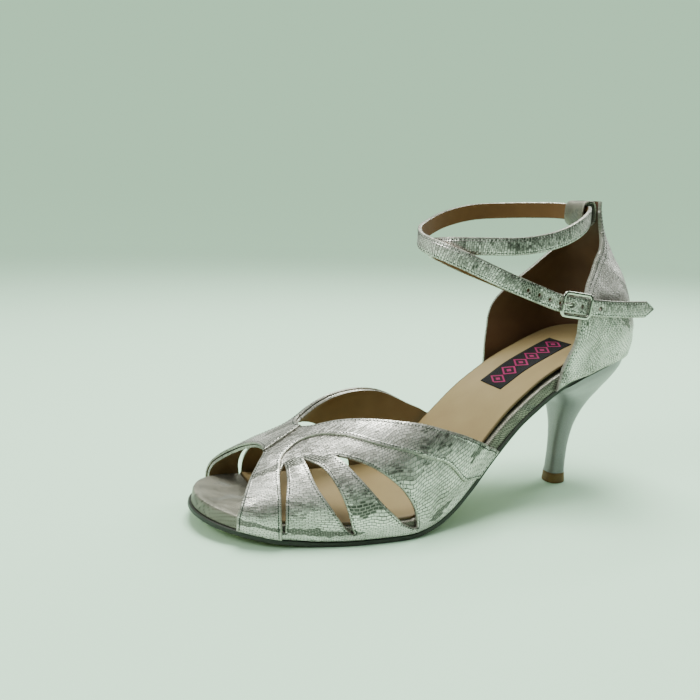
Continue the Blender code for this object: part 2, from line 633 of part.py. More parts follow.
def build_bottom(suede, silver, beige, dark):
    """Outsole, wrapped platform, insole sock and its blank label."""
    sheet_solid("outsole", plan_outline(sole_margin), [], lift,
                [(0, 0), (0, SOLE_THICKNESS)], suede)
    edge = PLATFORM_EDGE
    sheet_solid("insole_platform", plan_outline(lambda x: 0 * x), [], lift,
                [(0, PLATFORM_LOW), (0, PLATFORM_TOP - edge),
                 (0.3 * edge, PLATFORM_TOP - 0.3 * edge), (edge, PLATFORM_TOP)], silver)
    sheet_solid("insole_sock", plan_outline(lambda x: 0 * x - SOCK_INSET, SOCK_START), [], lift,
                [(0, SOCK_LOW), (0, SOCK_TOP)], beige)
    x, y = HEEL_X - LABEL_AHEAD, LABEL_ASIDE
    half_long, half_wide = LABEL_LENGTH / 2, LABEL_WIDTH / 2
    corners = np.array([(x - half_long, y - half_wide), (x + half_long, y - half_wide),
                        (x + half_long, y + half_wide), (x - half_long, y + half_wide)])
    runs = [np.stack([corners[k], corners[(k + 1) % 4]]) for k in range(4)]
    low = SOCK_TOP + CLEARANCE
    sheet_solid("insole_label", closed_loop(runs), [], lift,
                [(0, low), (0, low + LABEL_THICKNESS)], dark)


# Heel

def heel_ring(front, back, half, height, power, count=28):
    """Closed section: round behind, squarer in front as the power grows. height(x) gives z."""
    middle, reach = (front + back) / 2, (back - front) / 2
    ring = []
    for k in range(count):
        turn = 2 * math.pi * (k + 0.5) / count
        c, s = math.cos(turn), math.sin(turn)
        n = power if c < 0 else 2.2
        x = middle + math.copysign(abs(c)**(2 / n), c) * reach
        ring.append((x, math.copysign(abs(s)**(2 / n), s) * half, height(x)))
    return ring


def build_heel(cover, rubber):
    """Slim flared block from the seat down to the tip, and the tip that stands on the floor."""
    rings = []
    for drop, front, back, half, slope, power in HEEL_SECTIONS:
        front_x = HEEL_CENTRE_X + front * HEEL_ROUND
        back_x = HEEL_CENTRE_X + back * HEEL_ROUND
        middle = (front_x + back_x) / 2
        base = float(floor_height(middle)) - CLEARANCE - drop * SEAT_HEIGHT

        def height(x, base=base, middle=middle, slope=slope):
            return base + slope * (float(floor_height(x)) - float(floor_height(middle)))
        rings.append(heel_ring(front_x, back_x, half * HEEL_ROUND, height, power))
    deep, wide = HEEL_STEM_DEPTH / 2, HEEL_STEM_WIDTH / 2
    front_x, back_x = HEEL_CENTRE_X - deep, HEEL_CENTRE_X + deep
    rings.append(heel_ring(front_x, back_x, wide, lambda x: HEEL_TIP_HEIGHT + CLEARANCE, 2.5))
    top = np.array(rings[0])
    hub = top.mean(axis=0)
    caps = []
    for share in (0.34, 0.7):
        ring = hub + share * (top - hub)
        ring[:, 2] = floor_height(ring[:, 0]) - CLEARANCE
        caps.append(ring)
    loft_solid("heel", caps + rings, cover)
    tip = [heel_ring(front_x - grow, back_x + grow, wide + grow, lambda x, z=z: z, 2.5)
           for z, grow in ((HEEL_TIP_HEIGHT, 0.0), (2.5 * TIP_FLARE, TIP_FLARE),
                           (0.0, 0.5 * TIP_FLARE))]
    loft_solid("heel_tip", tip, rubber)


# Ankle strap, loop and buckle

def ankle_point(shares):
    """World place of a point given in shares of COUNTER_TOP from the end of the seat."""
    return np.array([HEEL_X, 0.0, 0.0]) + np.array(shares) * COUNTER_TOP


def buckle_axes():
    """Directions of the buckle: along the strap, up across it, and outwards."""
    ahead = BUCKLE_AHEAD / np.linalg.norm(BUCKLE_AHEAD)
    up = np.array([0.0, 0.0, 1.0])
    up = up - ahead * (up @ ahead)
    up /= np.linalg.norm(up)
    return ahead, up, np.cross(ahead, up)


def buckle_point(along, up, out):
    """World place of a point given along, up and out from the buckle's centre."""
    a, u, o = buckle_axes()
    return ankle_point(BUCKLE_CENTRE) + a * along + u * up + o * out


BAR_REACH = BUCKLE_LENGTH / 2 - BUCKLE_BAR / 2
UNDER_BAR = -BUCKLE_DEPTH / 2 - CLEARANCE - STRAP_THICKNESS / 2
CENTRE_BAR_OUT = UNDER_BAR - CENTRE_BAR_RADIUS
OVER_CENTRE = CENTRE_BAR_OUT + CENTRE_BAR_RADIUS + CLEARANCE + STRAP_THICKNESS / 2


def strap_line():
    """Middle line of the ankle strap as closely spaced points, with the length at each."""
    rows = [ankle_point(p) for p in STRAP_TO_BUCKLE]
    rows += [buckle_point(-BAR_REACH, 0, UNDER_BAR), buckle_point(0, 0, OVER_CENTRE),
             buckle_point(BAR_REACH, 0, UNDER_BAR)]
    rows += [ankle_point(p) for p in STRAP_TAIL]
    line = spline(rows, 1200)
    length = np.concatenate([[0.0], np.cumsum(np.linalg.norm(np.diff(line, axis=0), axis=1))])
    return line, length


STRAP_LINE, STRAP_LENGTHS = strap_line()
CENTRE_BAR_AT = STRAP_LENGTHS[int(np.argmin(np.linalg.norm(
    STRAP_LINE - buckle_point(0, 0, OVER_CENTRE), axis=1)))]
PRONG_HOLE_AT = CENTRE_BAR_AT - PRONG_HOLE_AHEAD


def ribbon_place(line, lengths, lean=0.0):
    """Placing function of a ribbon (along, across) on a line, its width upright, or leaning
    to the inner side by lean for each unit of height."""
    tangent = np.gradient(line, lengths, axis=0)
    tangent /= np.linalg.norm(tangent, axis=1)[:, None]
    up = np.stack([0.0 * lengths, lean + 0.0 * lengths, 1.0 + 0.0 * lengths], 1)
    up -= tangent * np.sum(up * tangent, axis=1)[:, None]
    up /= np.linalg.norm(up, axis=1)[:, None]
    out = np.cross(tangent, up)

    def place(points, level):
        def at(values):
            return np.stack([np.interp(points[:, 0], lengths, values[:, k]) for k in range(3)], 1)
        return at(line) + at(up) * points[:, 1:2] + at(out) * level
    return place


def circle(x, y, radius, count=8):
    """Closed loop of a round hole."""
    turn = 2 * math.pi * np.arange(count) / count
    return np.stack([x + radius * np.cos(turn), y + radius * np.sin(turn)], 1)


def build_strap(material):
    """The whole ankle strap with its punched holes and pointed end."""
    half, end = STRAP_WIDTH / 2, STRAP_LENGTHS[-1]
    corners = [(0, -half), (end - STRAP_POINT, -half), (end, 0), (end - STRAP_POINT, half),
               (0, half)]
    runs = [np.array([corners[k], corners[(k + 1) % 5]]) for k in range(5)]
    holes = [circle(PRONG_HOLE_AT + k * HOLE_PITCH, 0, HOLE_RADIUS)
             for k in range(-HOLES_BEFORE_PRONG, HOLES_AFTER_PRONG + 1)]
    place = ribbon_place(STRAP_LINE, STRAP_LENGTHS)
    sheet_solid("ankle_strap", closed_loop(runs, STRAP_EDGE_STEP), holes, place,
                [(0, -STRAP_THICKNESS / 2), (0, STRAP_THICKNESS / 2)], material,
                step=STRAP_FACE_STEP)


def build_loop(material):
    """Leather loop at the top of the counter: a rounded tube across the heel, open at its
    ends, that the strap runs through."""
    back = float(counter_back(COUNTER_TOP)) - CLEARANCE
    x, z = back - LOOP_DEPTH / 2 - LOOP_SET_IN, COUNTER_TOP - 0.5 * LOOP_HEIGHT

    def ring(inset, y, count=28):
        points = []
        for k in range(count):
            turn = 2 * math.pi * k / count
            c, s = math.cos(turn), math.sin(turn)
            points.append((x + math.copysign(abs(c)**0.6, c) * (LOOP_DEPTH / 2 - inset), y,
                           z + math.copysign(abs(s)**0.6, s) * (LOOP_HEIGHT / 2 - inset)))
        return points
    mesh = bpy.data.meshes.new("strap_loop")
    solid = bmesh.new()
    half = LOOP_WIDTH / 2
    stack = [[solid.verts.new(p) for p in ring(inset, y)]
             for inset, y in ((0, -half), (0, half), (LOOP_WALL, half), (LOOP_WALL, -half))]
    for k in range(4):
        low, high = stack[k], stack[(k + 1) % 4]
        for i in range(len(low)):
            j = (i + 1) % len(low)
            solid.faces.new([low[i], low[j], high[j], high[i]])
    bmesh.ops.triangulate(solid, faces=solid.faces[:])
    bmesh.ops.recalc_face_normals(solid, faces=solid.faces[:])
    solid.to_mesh(mesh)
    solid.free()
    finish("strap_loop", mesh, material)


def bar_mesh(solid, along, up, out):
    """Add a closed block spanning the ranges along, up and out in the buckle's axes."""
    corner = {}
    for i in (0, 1):
        for j in (0, 1):
            for k in (0, 1):
                corner[i, j, k] = solid.verts.new(buckle_point(along[i], up[j], out[k]))
    for a in (0, 1):
        solid.faces.new([corner[a, 0, 0], corner[a, 1, 0], corner[a, 1, 1], corner[a, 0, 1]])
        solid.faces.new([corner[0, a, 0], corner[1, a, 0], corner[1, a, 1], corner[0, a, 1]])
        solid.faces.new([corner[0, 0, a], corner[1, 0, a], corner[1, 1, a], corner[0, 1, a]])


def block(name, along, up, out):
    """Object of one closed block in the buckle's axes."""
    mesh = bpy.data.meshes.new(name)
    solid = bmesh.new()
    bar_mesh(solid, along, up, out)
    bmesh.ops.recalc_face_normals(solid, faces=solid.faces[:])
    solid.to_mesh(mesh)
    solid.free()
    obj = bpy.data.objects.new(name, mesh)
    bpy.context.scene.collection.objects.link(obj)
    return obj


def build_buckle(metal):
    """Frame with a lowered centre bar, and the prong whose tip rests on the front bar."""
    long, high = BUCKLE_LENGTH / 2, BUCKLE_HEIGHT / 2
    front_out = (-BUCKLE_DEPTH / 2, BUCKLE_DEPTH / 2)
    rail_out = (CENTRE_BAR_OUT - CENTRE_BAR_RADIUS, BUCKLE_DEPTH / 2 - RAIL_SET_IN / 4)
    frame = block("buckle_frame", (-long, -long + BUCKLE_BAR), (-high, high), front_out)
    r = CENTRE_BAR_RADIUS
    rail = (-long + RAIL_SET_IN, long - RAIL_SET_IN)
    rail_top = high - RAIL_SET_IN / 4
    bar_top = high - 1.5 * RAIL_SET_IN
    parts = [((long - BUCKLE_BAR, long), (-high, high), front_out),
             (rail, (high - BUCKLE_BAR, rail_top), rail_out),
             (rail, (-rail_top, -high + BUCKLE_BAR), rail_out),
             ((-r, r), (-bar_top, bar_top), (CENTRE_BAR_OUT - 0.9 * r, CENTRE_BAR_OUT + r))]
    for number, (along, up, out) in enumerate(parts):
        piece = block(f"buckle_union_{number}", along, up, out)
        piece.hide_render = True
        piece.display_type = "WIRE"
        join = frame.modifiers.new(f"join_{number}", "BOOLEAN")
        join.operation = "UNION"
        join.solver = "EXACT"
        join.object = piece
    frame.data.materials.append(metal)

    tip = BUCKLE_DEPTH / 2 + CLEARANCE + PRONG_RADIUS
    start = CENTRE_BAR_OUT
    route = [(-r - CLEARANCE - PRONG_RADIUS, start)]
    route += [(-a * BAR_REACH, start + o * (tip - start)) for a, o in PRONG_ROUTE]
    line = spline([buckle_point(a, 0, o) for a, o in route], 12)
    tangent = np.gradient(line, axis=0)
    tangent /= np.linalg.norm(tangent, axis=1)[:, None]
    across = buckle_axes()[1]
    rings = []
    for point, direction in zip(line, tangent):
        side = np.cross(direction, across)
        rings.append([point + PRONG_RADIUS * (math.cos(t) * across + math.sin(t) * side)
                      for t in np.linspace(0, 2 * math.pi, 9)[:-1]])
    loft_solid("buckle_prong", rings, metal)


def build_tab(material):
    """Short anchor strap from the buckle's centre bar back to the inside of the counter."""
    bar = buckle_point(CENTRE_BAR_RADIUS + CLEARANCE + 0.4 * TAB_THICKNESS, 0,
                       CENTRE_BAR_OUT - CENTRE_BAR_RADIUS / 3)
    height = ankle_point(BUCKLE_CENTRE)[2:]
    inner = float(counter_surface(np.array([-2 * HEEL_ROUND]), height)[0, 1])
    seat = inner + CLEARANCE + TAB_THICKNESS / 2 + TAB_EASE
    rows = [bar, bar + np.array([0.24, 0.19, 0.0]) * STRAP_WIDTH]
    rows += [np.array([bar[0] + x * STRAP_WIDTH, seat + y * STRAP_WIDTH, bar[2] + z * STRAP_WIDTH])
             for x, y, z in ((0.58, -0.19, 0.0), (1.42, 0.01, 0.0), (2.37, 0.04, 0.06))]
    line = spline(rows, 200)
    length = np.concatenate([[0.0], np.cumsum(np.linalg.norm(np.diff(line, axis=0), axis=1))])
    half, end = 0.92 * STRAP_WIDTH / 2, length[-1]
    corners = [(0, -half), (end, -half), (end, half), (0, half)]
    runs = [np.array([corners[k], corners[(k + 1) % 4]]) for k in range(4)]
    lean = np.interp(length / end, [0.15, 0.5], [0.0, 0.5])
    sheet_solid("buckle_tab", closed_loop(runs, 0.3 * STRAP_WIDTH), [],
                ribbon_place(line, length, lean),
                [(0, -TAB_THICKNESS / 2), (0, TAB_THICKNESS / 2)], material)


def clear_scene():
    """Remove every object of the open scene."""
    for obj in list(bpy.data.objects):
        bpy.data.objects.remove(obj, do_unlink=True)


def main():
    clear_scene()
    silver = make_material("silver_leather", (0.62, 0.66, 0.64), 0.35, 0.85)
    suede = make_material("sole_suede", (0.55, 0.47, 0.38), 0.95, 0.0)
    beige = make_material("insole_beige", (0.42, 0.34, 0.22), 0.7, 0.0)
    dark = make_material("label_black", (0.02, 0.015, 0.02), 0.6, 0.0)
    cover = make_material("heel_cover", (0.50, 0.54, 0.54), 0.3, 0.3)
    rubber = make_material("heel_tip_tan", (0.30, 0.17, 0.07), 0.6, 0.0)
    metal = make_material("buckle_nickel", (0.72, 0.72, 0.70), 0.18, 1.0)
    build_bottom(suede, silver, beige, dark)
    build_vamp(silver)
    build_bands(silver)
    build_counter(silver)
    build_heel(cover, rubber)
    build_loop(silver)
    build_strap(silver)
    build_buckle(metal)
    build_tab(silver)


main()
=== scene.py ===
"""Looks of the left ballroom dance shoe: silver print leather upper, tan linings, crossed ankle
strap with a nickel buckle and a pearl lacquered flared heel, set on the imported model.

The frame is the part's: +X from toe to heel, +Y to the inner side of the foot, +Z up, metres.
Curved pieces are worked out from the same tables of shares as the solids, only finer.
"""
import math

import bpy
import numpy as np
from mathutils import Matrix
from mathutils.geometry import delaunay_2d_cdt


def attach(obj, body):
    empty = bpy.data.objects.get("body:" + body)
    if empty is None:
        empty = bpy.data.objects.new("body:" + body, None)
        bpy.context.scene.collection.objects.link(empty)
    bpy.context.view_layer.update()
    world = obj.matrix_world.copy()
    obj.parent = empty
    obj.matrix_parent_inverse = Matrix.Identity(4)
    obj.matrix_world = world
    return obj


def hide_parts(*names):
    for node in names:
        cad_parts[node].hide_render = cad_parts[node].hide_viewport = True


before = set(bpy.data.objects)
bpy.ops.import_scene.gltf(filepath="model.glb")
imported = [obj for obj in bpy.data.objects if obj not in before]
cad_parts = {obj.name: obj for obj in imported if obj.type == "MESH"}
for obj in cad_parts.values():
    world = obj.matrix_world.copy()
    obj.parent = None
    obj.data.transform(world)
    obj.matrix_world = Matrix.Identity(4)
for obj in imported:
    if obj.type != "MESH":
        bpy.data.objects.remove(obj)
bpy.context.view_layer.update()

# Camera fitted to the photograph: degrees, metres, and focal length in pixels of its 700
CAMERA_TURN = -23.46
CAMERA_RISE = 11.35
CAMERA_ROLL = 1.74
CAMERA_DISTANCE = 0.48628
CAMERA_AIM = (0.040, 0.09221, 0.06057)
CAMERA_FOCAL = 800.1

MM = 0.001

# Driving sizes
LENGTH = 233.0 * MM
TREAD_FROM_TOE = 75.5 * MM
BALL_WIDTH = 77.6 * MM
SEAT_HEIGHT = 75.5 * MM
TOE_SPRING = 7.4 * MM
INSTEP_HEIGHT = 84.0 * MM
TOE_ROUND = 34.0 * MM
HEEL_ROUND = 27.0 * MM
CLEARANCE = 0.3 * MM

# Bottom
SOLE_THICKNESS = 2.4 * MM
SOLE_MARGIN = 1.2 * MM
PLATFORM_THICKNESS = 6.0 * MM
PLATFORM_EDGE = 1.2 * MM
SOCK_THICKNESS = 1.0 * MM
SOCK_INSET = 2.0 * MM
SOCK_START = -45.0 * MM
LABEL_LENGTH = 41.0 * MM
LABEL_WIDTH = 19.0 * MM
LABEL_THICKNESS = 0.4 * MM
LABEL_AHEAD = 48.8 * MM
LABEL_ASIDE = 2.8 * MM

# Upper
VAMP_WALL = 1.4 * MM
VAMP_EASE = 0.6 * MM
BAND_EASE = 0.6 * MM
BAND_THICKNESS = 0.9 * MM
COUNTER_WALL = 1.8 * MM
COUNTER_TOP = 154.0 * MM
COUNTER_FOOT = 0.5 * MM
CROWN_LEAN = 6.0 * MM
VAMP_FULLNESS = 0.045
LEAN_RUN = (-45.0 * MM, -8.0 * MM)
WALL_SHARE = 0.86
GIRTH_SCALE = 90.0 * MM

# Heel
HEEL_INSET = 31.1 * MM
HEEL_TIP_HEIGHT = 5.4 * MM
HEEL_STEM_DEPTH = 10.8 * MM
HEEL_STEM_WIDTH = 11.0 * MM
STEM_POWER = 2.5
BREAST_AHEAD = 53.5 * MM

# Ankle strap, its loop and buckle
STRAP_WIDTH = 8.4 * MM
STRAP_THICKNESS = 1.8 * MM
STRAP_POINT = 6.0 * MM
HOLE_PITCH = 6.2 * MM
HOLES_BEFORE_PRONG = 4
HOLES_AFTER_PRONG = 3
CENTRE_BAR_RADIUS = 0.7 * MM
PRONG_HOLE_AHEAD = 3.0 * MM
TAB_THICKNESS = 1.2 * MM
TAB_EASE = 1.2 * MM
LOOP_WIDTH = 15.0 * MM
LOOP_DEPTH = 9.4 * MM
LOOP_HEIGHT = 13.0 * MM
LOOP_WALL = 1.2 * MM
LOOP_SET_IN = 1.2 * MM
BUCKLE_LENGTH = 18.4 * MM
BUCKLE_HEIGHT = 12.8 * MM
BUCKLE_BAR = 1.8 * MM
BUCKLE_DEPTH = 1.2 * MM
PRONG_RADIUS = 0.6 * MM
BUCKLE_CENTRE = (-0.3552, -0.2396, 0.6786)
BUCKLE_AHEAD = np.array([0.987, 0.000, -0.150])

# Spacing of the points on the edges and faces of the dressed pieces
EDGE_STEP = 1.2 * MM
FACE_STEP = 2.2 * MM

# Thread, lap of the bands, hole as seen, rise of the cupped seat. Stitch rows of the vamp end
# at STITCH_REACH of the way round to the sole; round sections have the power ROUND_POWER
STITCH_PITCH = 1.8 * MM
STITCH_LENGTH = 1.05 * MM
STITCH_THICK = 0.3 * MM
STITCH_INSET = 1.15 * MM
STITCH_ROW_GAP = 1.5 * MM
THREAD_RISE = 0.03 * MM
LAP = 1.6 * MM
LAP_RISE = 1.1 * MM
HOLE_SHOWN = 1.0 * MM
SOCK_CUP = 2.2 * MM
STITCH_REACH = 0.985
ROUND_POWER = 2.2
SMALL = 0.3 * MM

# Soft creases worn into the leather: start and end on the pattern, half width, depth, in mm
VAMP_CREASES = (((-46, 22), (-68, 33), 2.2, 0.5), ((-52, 14), (-74, 22), 2.0, 0.45),
                ((-40, 27), (-58, 44), 2.0, 0.4), ((46, 20), (66, 30), 2.2, 0.5),
                ((-30, -8), (-52, -2), 1.8, 0.3), ((40, 8), (62, 14), 2.0, 0.4))
COUNTER_CREASES = (((-34, 84), (-12, 88), 3.5, 0.5), ((-30, 96), (-8, 104), 3.5, 0.45),
                   ((10, 90), (34, 84), 3.5, 0.5), ((-24, 116), (-9, 128), 3.0, 0.35),
                   ((8, 104), (26, 112), 3.5, 0.4))

# Underside of the outsole from the side. Columns: distance behind the toe as a share of LENGTH,
# height as a share of TOE_SPRING ahead of the tread and of SEAT_HEIGHT behind it
TOE_RISE = ((-0.020, 1.050), (0.058, 0.620), (0.135, 0.240), (0.213, 0.034), (0.264, 0.0))
ARCH_RISE = ((0.384, 0.0), (0.436, 0.021), (0.487, 0.087), (0.538, 0.205), (0.599, 0.384),
             (0.676, 0.587), (0.723, 0.682), (0.761, 0.755), (0.818, 0.838), (0.861, 0.894),
             (0.925, 0.958), (0.968, 0.984), (1.011, 1.0), (1.040, 1.005))

# Sole from above. Columns: distance behind the toe as a share of LENGTH, centre line's offset
# and half width as shares of BALL_WIDTH
PLAN = ((-0.020, 0.090, 0.420), (0.058, 0.075, 0.432), (0.135, 0.042, 0.456),
        (0.213, 0.0, 0.479), (0.291, -0.032, 0.497), (0.375, -0.049, 0.500),
        (0.452, -0.049, 0.464), (0.530, -0.041, 0.418), (0.599, -0.031, 0.384),
        (0.676, -0.015, 0.361), (0.770, 0.0, 0.345), (0.882, 0.005, 0.340), (1.050, 0.0, 0.340))

# Ridge of the vamp from the side. Columns: distance behind the toe as a share of LENGTH, height
# as a share of INSTEP_HEIGHT
CROWN = ((-0.020, 0.195), (0.058, 0.275), (0.139, 0.385), (0.230, 0.503), (0.358, 0.702),
         (0.452, 0.807), (0.538, 0.893), (0.624, 1.0))

# The vamp's pattern. Columns: place across, from -1 at the outer sole edge over 0 at the ridge
# to 1 at the inner sole edge, and distance behind the tread as a share of LENGTH
TOE_EDGE = ((-1.0, -0.262), (-0.775, -0.258), (-0.540, -0.245), (-0.332, -0.223),
            (-0.214, -0.202), (-0.108, -0.181), (0.080, -0.184), (0.212, -0.202),
            (0.368, -0.229), (0.540, -0.249), (0.775, -0.259), (1.0, -0.262))
THROAT_EDGE = ((1.0, 0.279), (0.900, 0.264), (0.663, 0.196), (0.488, 0.128), (0.327, 0.014),
               (0.255, -0.034), (0.129, -0.088), (-0.022, -0.096), (-0.170, -0.042),
               (-0.346, 0.028), (-0.512, 0.124), (-0.688, 0.204), (-0.912, 0.266), (-1.0, 0.279))
BAND_SEAM = ((-1.0, -0.189), (-0.650, -0.187), (-0.332, -0.170), (-0.258, -0.160),
             (-0.199, -0.139), (-0.170, -0.112), (-0.199, -0.084), (-0.287, -0.054),
             (-0.475, 0.006), (-0.600, 0.082), (-0.712, 0.147),
             (-0.830, 0.181), (-1.0, 0.228))
BAND_SPLIT = ((-0.108, -0.181), (-0.022, -0.096))
SLIT_FRONT = ((-0.300, -0.162), (-0.345, -0.171), (-0.650, -0.190), (-0.930, -0.187))
SLIT_BACK = ((-0.930, -0.184), (-0.662, -0.180), (-0.345, -0.163), (-0.300, -0.162))
LEAF_FRONT = ((-0.326, -0.127), (-0.587, -0.118), (-0.762, -0.092), (-0.925, -0.060))
LEAF_BACK = ((-0.925, -0.056), (-0.738, -0.071), (-0.600, -0.085), (-0.445, -0.103),
             (-0.326, -0.127))
BROAD_LEAF_FRONT = ((-0.405, -0.073), (-0.600, -0.040), (-0.762, 0.002), (-0.863, 0.042),
                    (-0.940, 0.067))
BROAD_LEAF_BACK = ((-0.940, 0.073), (-0.825, 0.068), (-0.738, 0.047), (-0.650, 0.015),
                   (-0.527, -0.030), (-0.405, -0.073))

# Heel counter. Columns: height as a share of COUNTER_TOP, place of its back behind the end of
# the seat, gain of its half width over the sole's and depth of its round back, as shares of
# HEEL_ROUND
COUNTER_SHAPE = ((0.360, -0.003, 0.000, 1.000), (0.455, 0.007, 0.000, 1.000),
                 (0.500, 0.032, 0.030, 1.000), (0.545, 0.067, 0.080, 1.020),
                 (0.580, 0.052, 0.110, 1.050), (0.630, -0.033, 0.120, 1.050),
                 (0.680, -0.113, 0.060, 1.000), (0.750, -0.223, -0.160, 0.800),
                 (0.820, -0.433, -0.370, 0.600), (0.887, -0.633, -0.530, 0.360),
                 (0.930, -0.728, -0.610, 0.200), (0.965, -0.783, -0.640, 0.130),
                 (1.000, -0.798, -0.655, 0.100))

# Front edges of the counter, outer and inner side. Columns: height as a share of COUNTER_TOP,
# distance ahead of the end of the seat as a share of HEEL_ROUND
COUNTER_OUTER_EDGE = ((0.386, 2.079), (0.435, 2.010), (0.506, 1.864), (0.580, 1.795),
                      (0.630, 1.786), (0.700, 1.613), (0.790, 1.208), (0.880, 0.871),
                      (0.950, 0.863), (1.000, 0.880))
COUNTER_INNER_EDGE = ((0.360, 2.407), (0.435, 2.356), (0.500, 2.338), (0.580, 2.312),
                      (0.646, 2.079), (0.717, 1.700), (0.790, 1.329), (0.880, 0.906),
                      (0.950, 0.863), (1.000, 0.880))

# Heel block from the seat down. Columns: drop below the sole as a share of SEAT_HEIGHT, front
# and back edge behind the heel tip's centre and half width as shares of HEEL_ROUND, share of
# the sole's slope that the section keeps, power of the front corners
HEEL_SECTIONS = ((0.000, -0.84, 1.14, 1.000, 1.0, 7.0),
                 (0.045, -0.74, 1.12, 0.960, 1.0, 6.0),
                 (0.120, -0.54, 0.98, 0.830, 0.9, 4.5),
                 (0.205, -0.35, 0.77, 0.640, 0.7, 3.6),
                 (0.295, -0.22, 0.55, 0.460, 0.4, 3.0),
                 (0.385, -0.16, 0.385, 0.340, 0.15, 2.8),
                 (0.500, -0.14, 0.27, 0.250, 0.0, 2.6),
                 (0.640, -0.15, 0.21, 0.205, 0.0, 2.5),
                 (0.780, -0.18, 0.195, 0.195, 0.0, 2.5))

# Prong from the centre bar to the front bar. Columns: distance ahead of the centre bar as a
# share of the front bar's, rise as a share of the whole rise
PRONG_ROUTE = ((0.26, 0.15), (0.37, 0.50), (0.54, 0.92), (0.79, 1.0), (1.05, 1.0))

# Ankle strap's middle line as shares of COUNTER_TOP: behind the end of the seat, towards the
# inner side and above the floor. It runs from the seam inside the counter forward, round the
# front, back through the loop, round again and down to the buckle
STRAP_TO_BUCKLE = ((-0.2695, 0.1571, 0.6753), (-0.3409, 0.1597, 0.6987),
                   (-0.4643, 0.1494, 0.7416), (-0.5617, 0.1299, 0.7753),
                   (-0.6656, 0.0870, 0.8117), (-0.7338, 0.0357, 0.8338),
                   (-0.7578, -0.0162, 0.8455), (-0.7435, -0.0636, 0.8519),
                   (-0.7110, -0.1013, 0.8545), (-0.6526, -0.1364, 0.8558),
                   (-0.5032, -0.1688, 0.8604), (-0.3539, -0.1578, 0.8896),
                   (-0.2727, -0.1318, 0.9208), (-0.2136, -0.0877, 0.9468),
                   (-0.1838, -0.0429, 0.9565), (-0.1760, 0.0000, 0.9597),
                   (-0.1838, 0.0429, 0.9610), (-0.2149, 0.0857, 0.9636),
                   (-0.2799, 0.1299, 0.9623), (-0.3864, 0.1682, 0.9578),
                   (-0.5032, 0.1753, 0.9494), (-0.6006, 0.1578, 0.9312),
                   (-0.7136, 0.1013, 0.8981), (-0.7682, 0.0532, 0.8779),
                   (-0.7877, 0.0000, 0.8610), (-0.7812, -0.0442, 0.8494),
                   (-0.7565, -0.0909, 0.8351), (-0.7065, -0.1429, 0.8097),
                   (-0.6422, -0.1773, 0.7779), (-0.5721, -0.2006, 0.7468),
                   (-0.4903, -0.2208, 0.7143))
STRAP_TAIL = ((-0.1916, -0.2260, 0.6597), (-0.1071, -0.2208, 0.6558), (-0.0195, -0.2130, 0.6545))


def curve(rows):
    """Return a smooth function through rows (position, value): cubic pieces, no overshoot."""
    xs = np.array([row[0] for row in rows], float)
    ys = np.array([row[1] for row in rows], float)
    step = np.diff(xs)
    slope = np.diff(ys) / step
    tangent = np.zeros(len(xs))
    for i in range(1, len(xs) - 1):
        if slope[i - 1] * slope[i] > 0:
            near = 2 * step[i] + step[i - 1]
            far = step[i] + 2 * step[i - 1]
            tangent[i] = (near + far) / (near / slope[i - 1] + far / slope[i])
    tangent[0] = slope[0]
    tangent[-1] = slope[-1]

    def evaluate(x):
        x = np.clip(np.asarray(x, float), xs[0], xs[-1])
        i = np.clip(np.searchsorted(xs, x) - 1, 0, len(xs) - 2)
        t = (x - xs[i]) / step[i]
        return ((2 * t**3 - 3 * t**2 + 1) * ys[i] + (t**3 - 2 * t**2 + t) * step[i] * tangent[i]
                + (3 * t**2 - 2 * t**3) * ys[i + 1] + (t**3 - t**2) * step[i] * tangent[i + 1])
    return evaluate


def run_lengths(points):
    """Length along a run of points, measured from its start, at each point."""
    return np.concatenate([[0.0], np.cumsum(np.linalg.norm(np.diff(points, axis=0), axis=1))])


def signed_power(value, power):
    """Power of the size of a value, with the value's own sign."""
    return np.sign(value) * np.abs(value)**power


def spline(points, count=160):
    """Smooth run through points in the plane or in space: cubic pieces by chord length."""
    points = np.array(points, float)
    t = run_lengths(points)
    tangent = np.gradient(points, t, axis=0)
    s = np.linspace(0.0, t[-1], count)
    i = np.clip(np.searchsorted(t, s) - 1, 0, len(t) - 2)
    h = (t[i + 1] - t[i])[:, None]
    u = (s - t[i])[:, None] / h
    return ((2 * u**3 - 3 * u**2 + 1) * points[i] + (u**3 - 2 * u**2 + u) * h * tangent[i]
            + (3 * u**2 - 2 * u**3) * points[i + 1] + (u**3 - u**2) * h * tangent[i + 1])


def resample(points, step):
    """The same run with evenly spaced points about step apart, both ends kept."""
    points = np.asarray(points, float)
    t = run_lengths(points)
    count = max(2, int(math.ceil(t[-1] / step)) + 1)
    s = np.linspace(0.0, t[-1], count)
    return np.stack([np.interp(s, t, points[:, k]) for k in range(points.shape[1])], 1)


def closed_loop(runs, step=EDGE_STEP):
    """Join runs end to end into one closed outline, with a corner wherever two runs meet."""
    return np.concatenate([resample(run, step)[:-1] for run in runs])


def polygon(corners, step=EDGE_STEP):
    """Closed outline with straight sides through corners."""
    corners = np.array(corners, float)
    return closed_loop(np.stack([corners, np.roll(corners, -1, axis=0)], 1), step)


# Sole profile and plan

def behind_toe(share):
    """Place along X of a share of the length, measured from the toe."""
    return share * LENGTH - TREAD_FROM_TOE


floor_height = curve([(behind_toe(s), z * TOE_SPRING) for s, z in TOE_RISE]
                     + [(behind_toe(s), z * SEAT_HEIGHT) for s, z in ARCH_RISE])
centre_line = curve([(behind_toe(s), c * BALL_WIDTH) for s, c, w in PLAN])
free_width = curve([(behind_toe(s), w * BALL_WIDTH) for s, c, w in PLAN])
crown_height = curve([(behind_toe(s), z * INSTEP_HEIGHT) for s, z in CROWN])

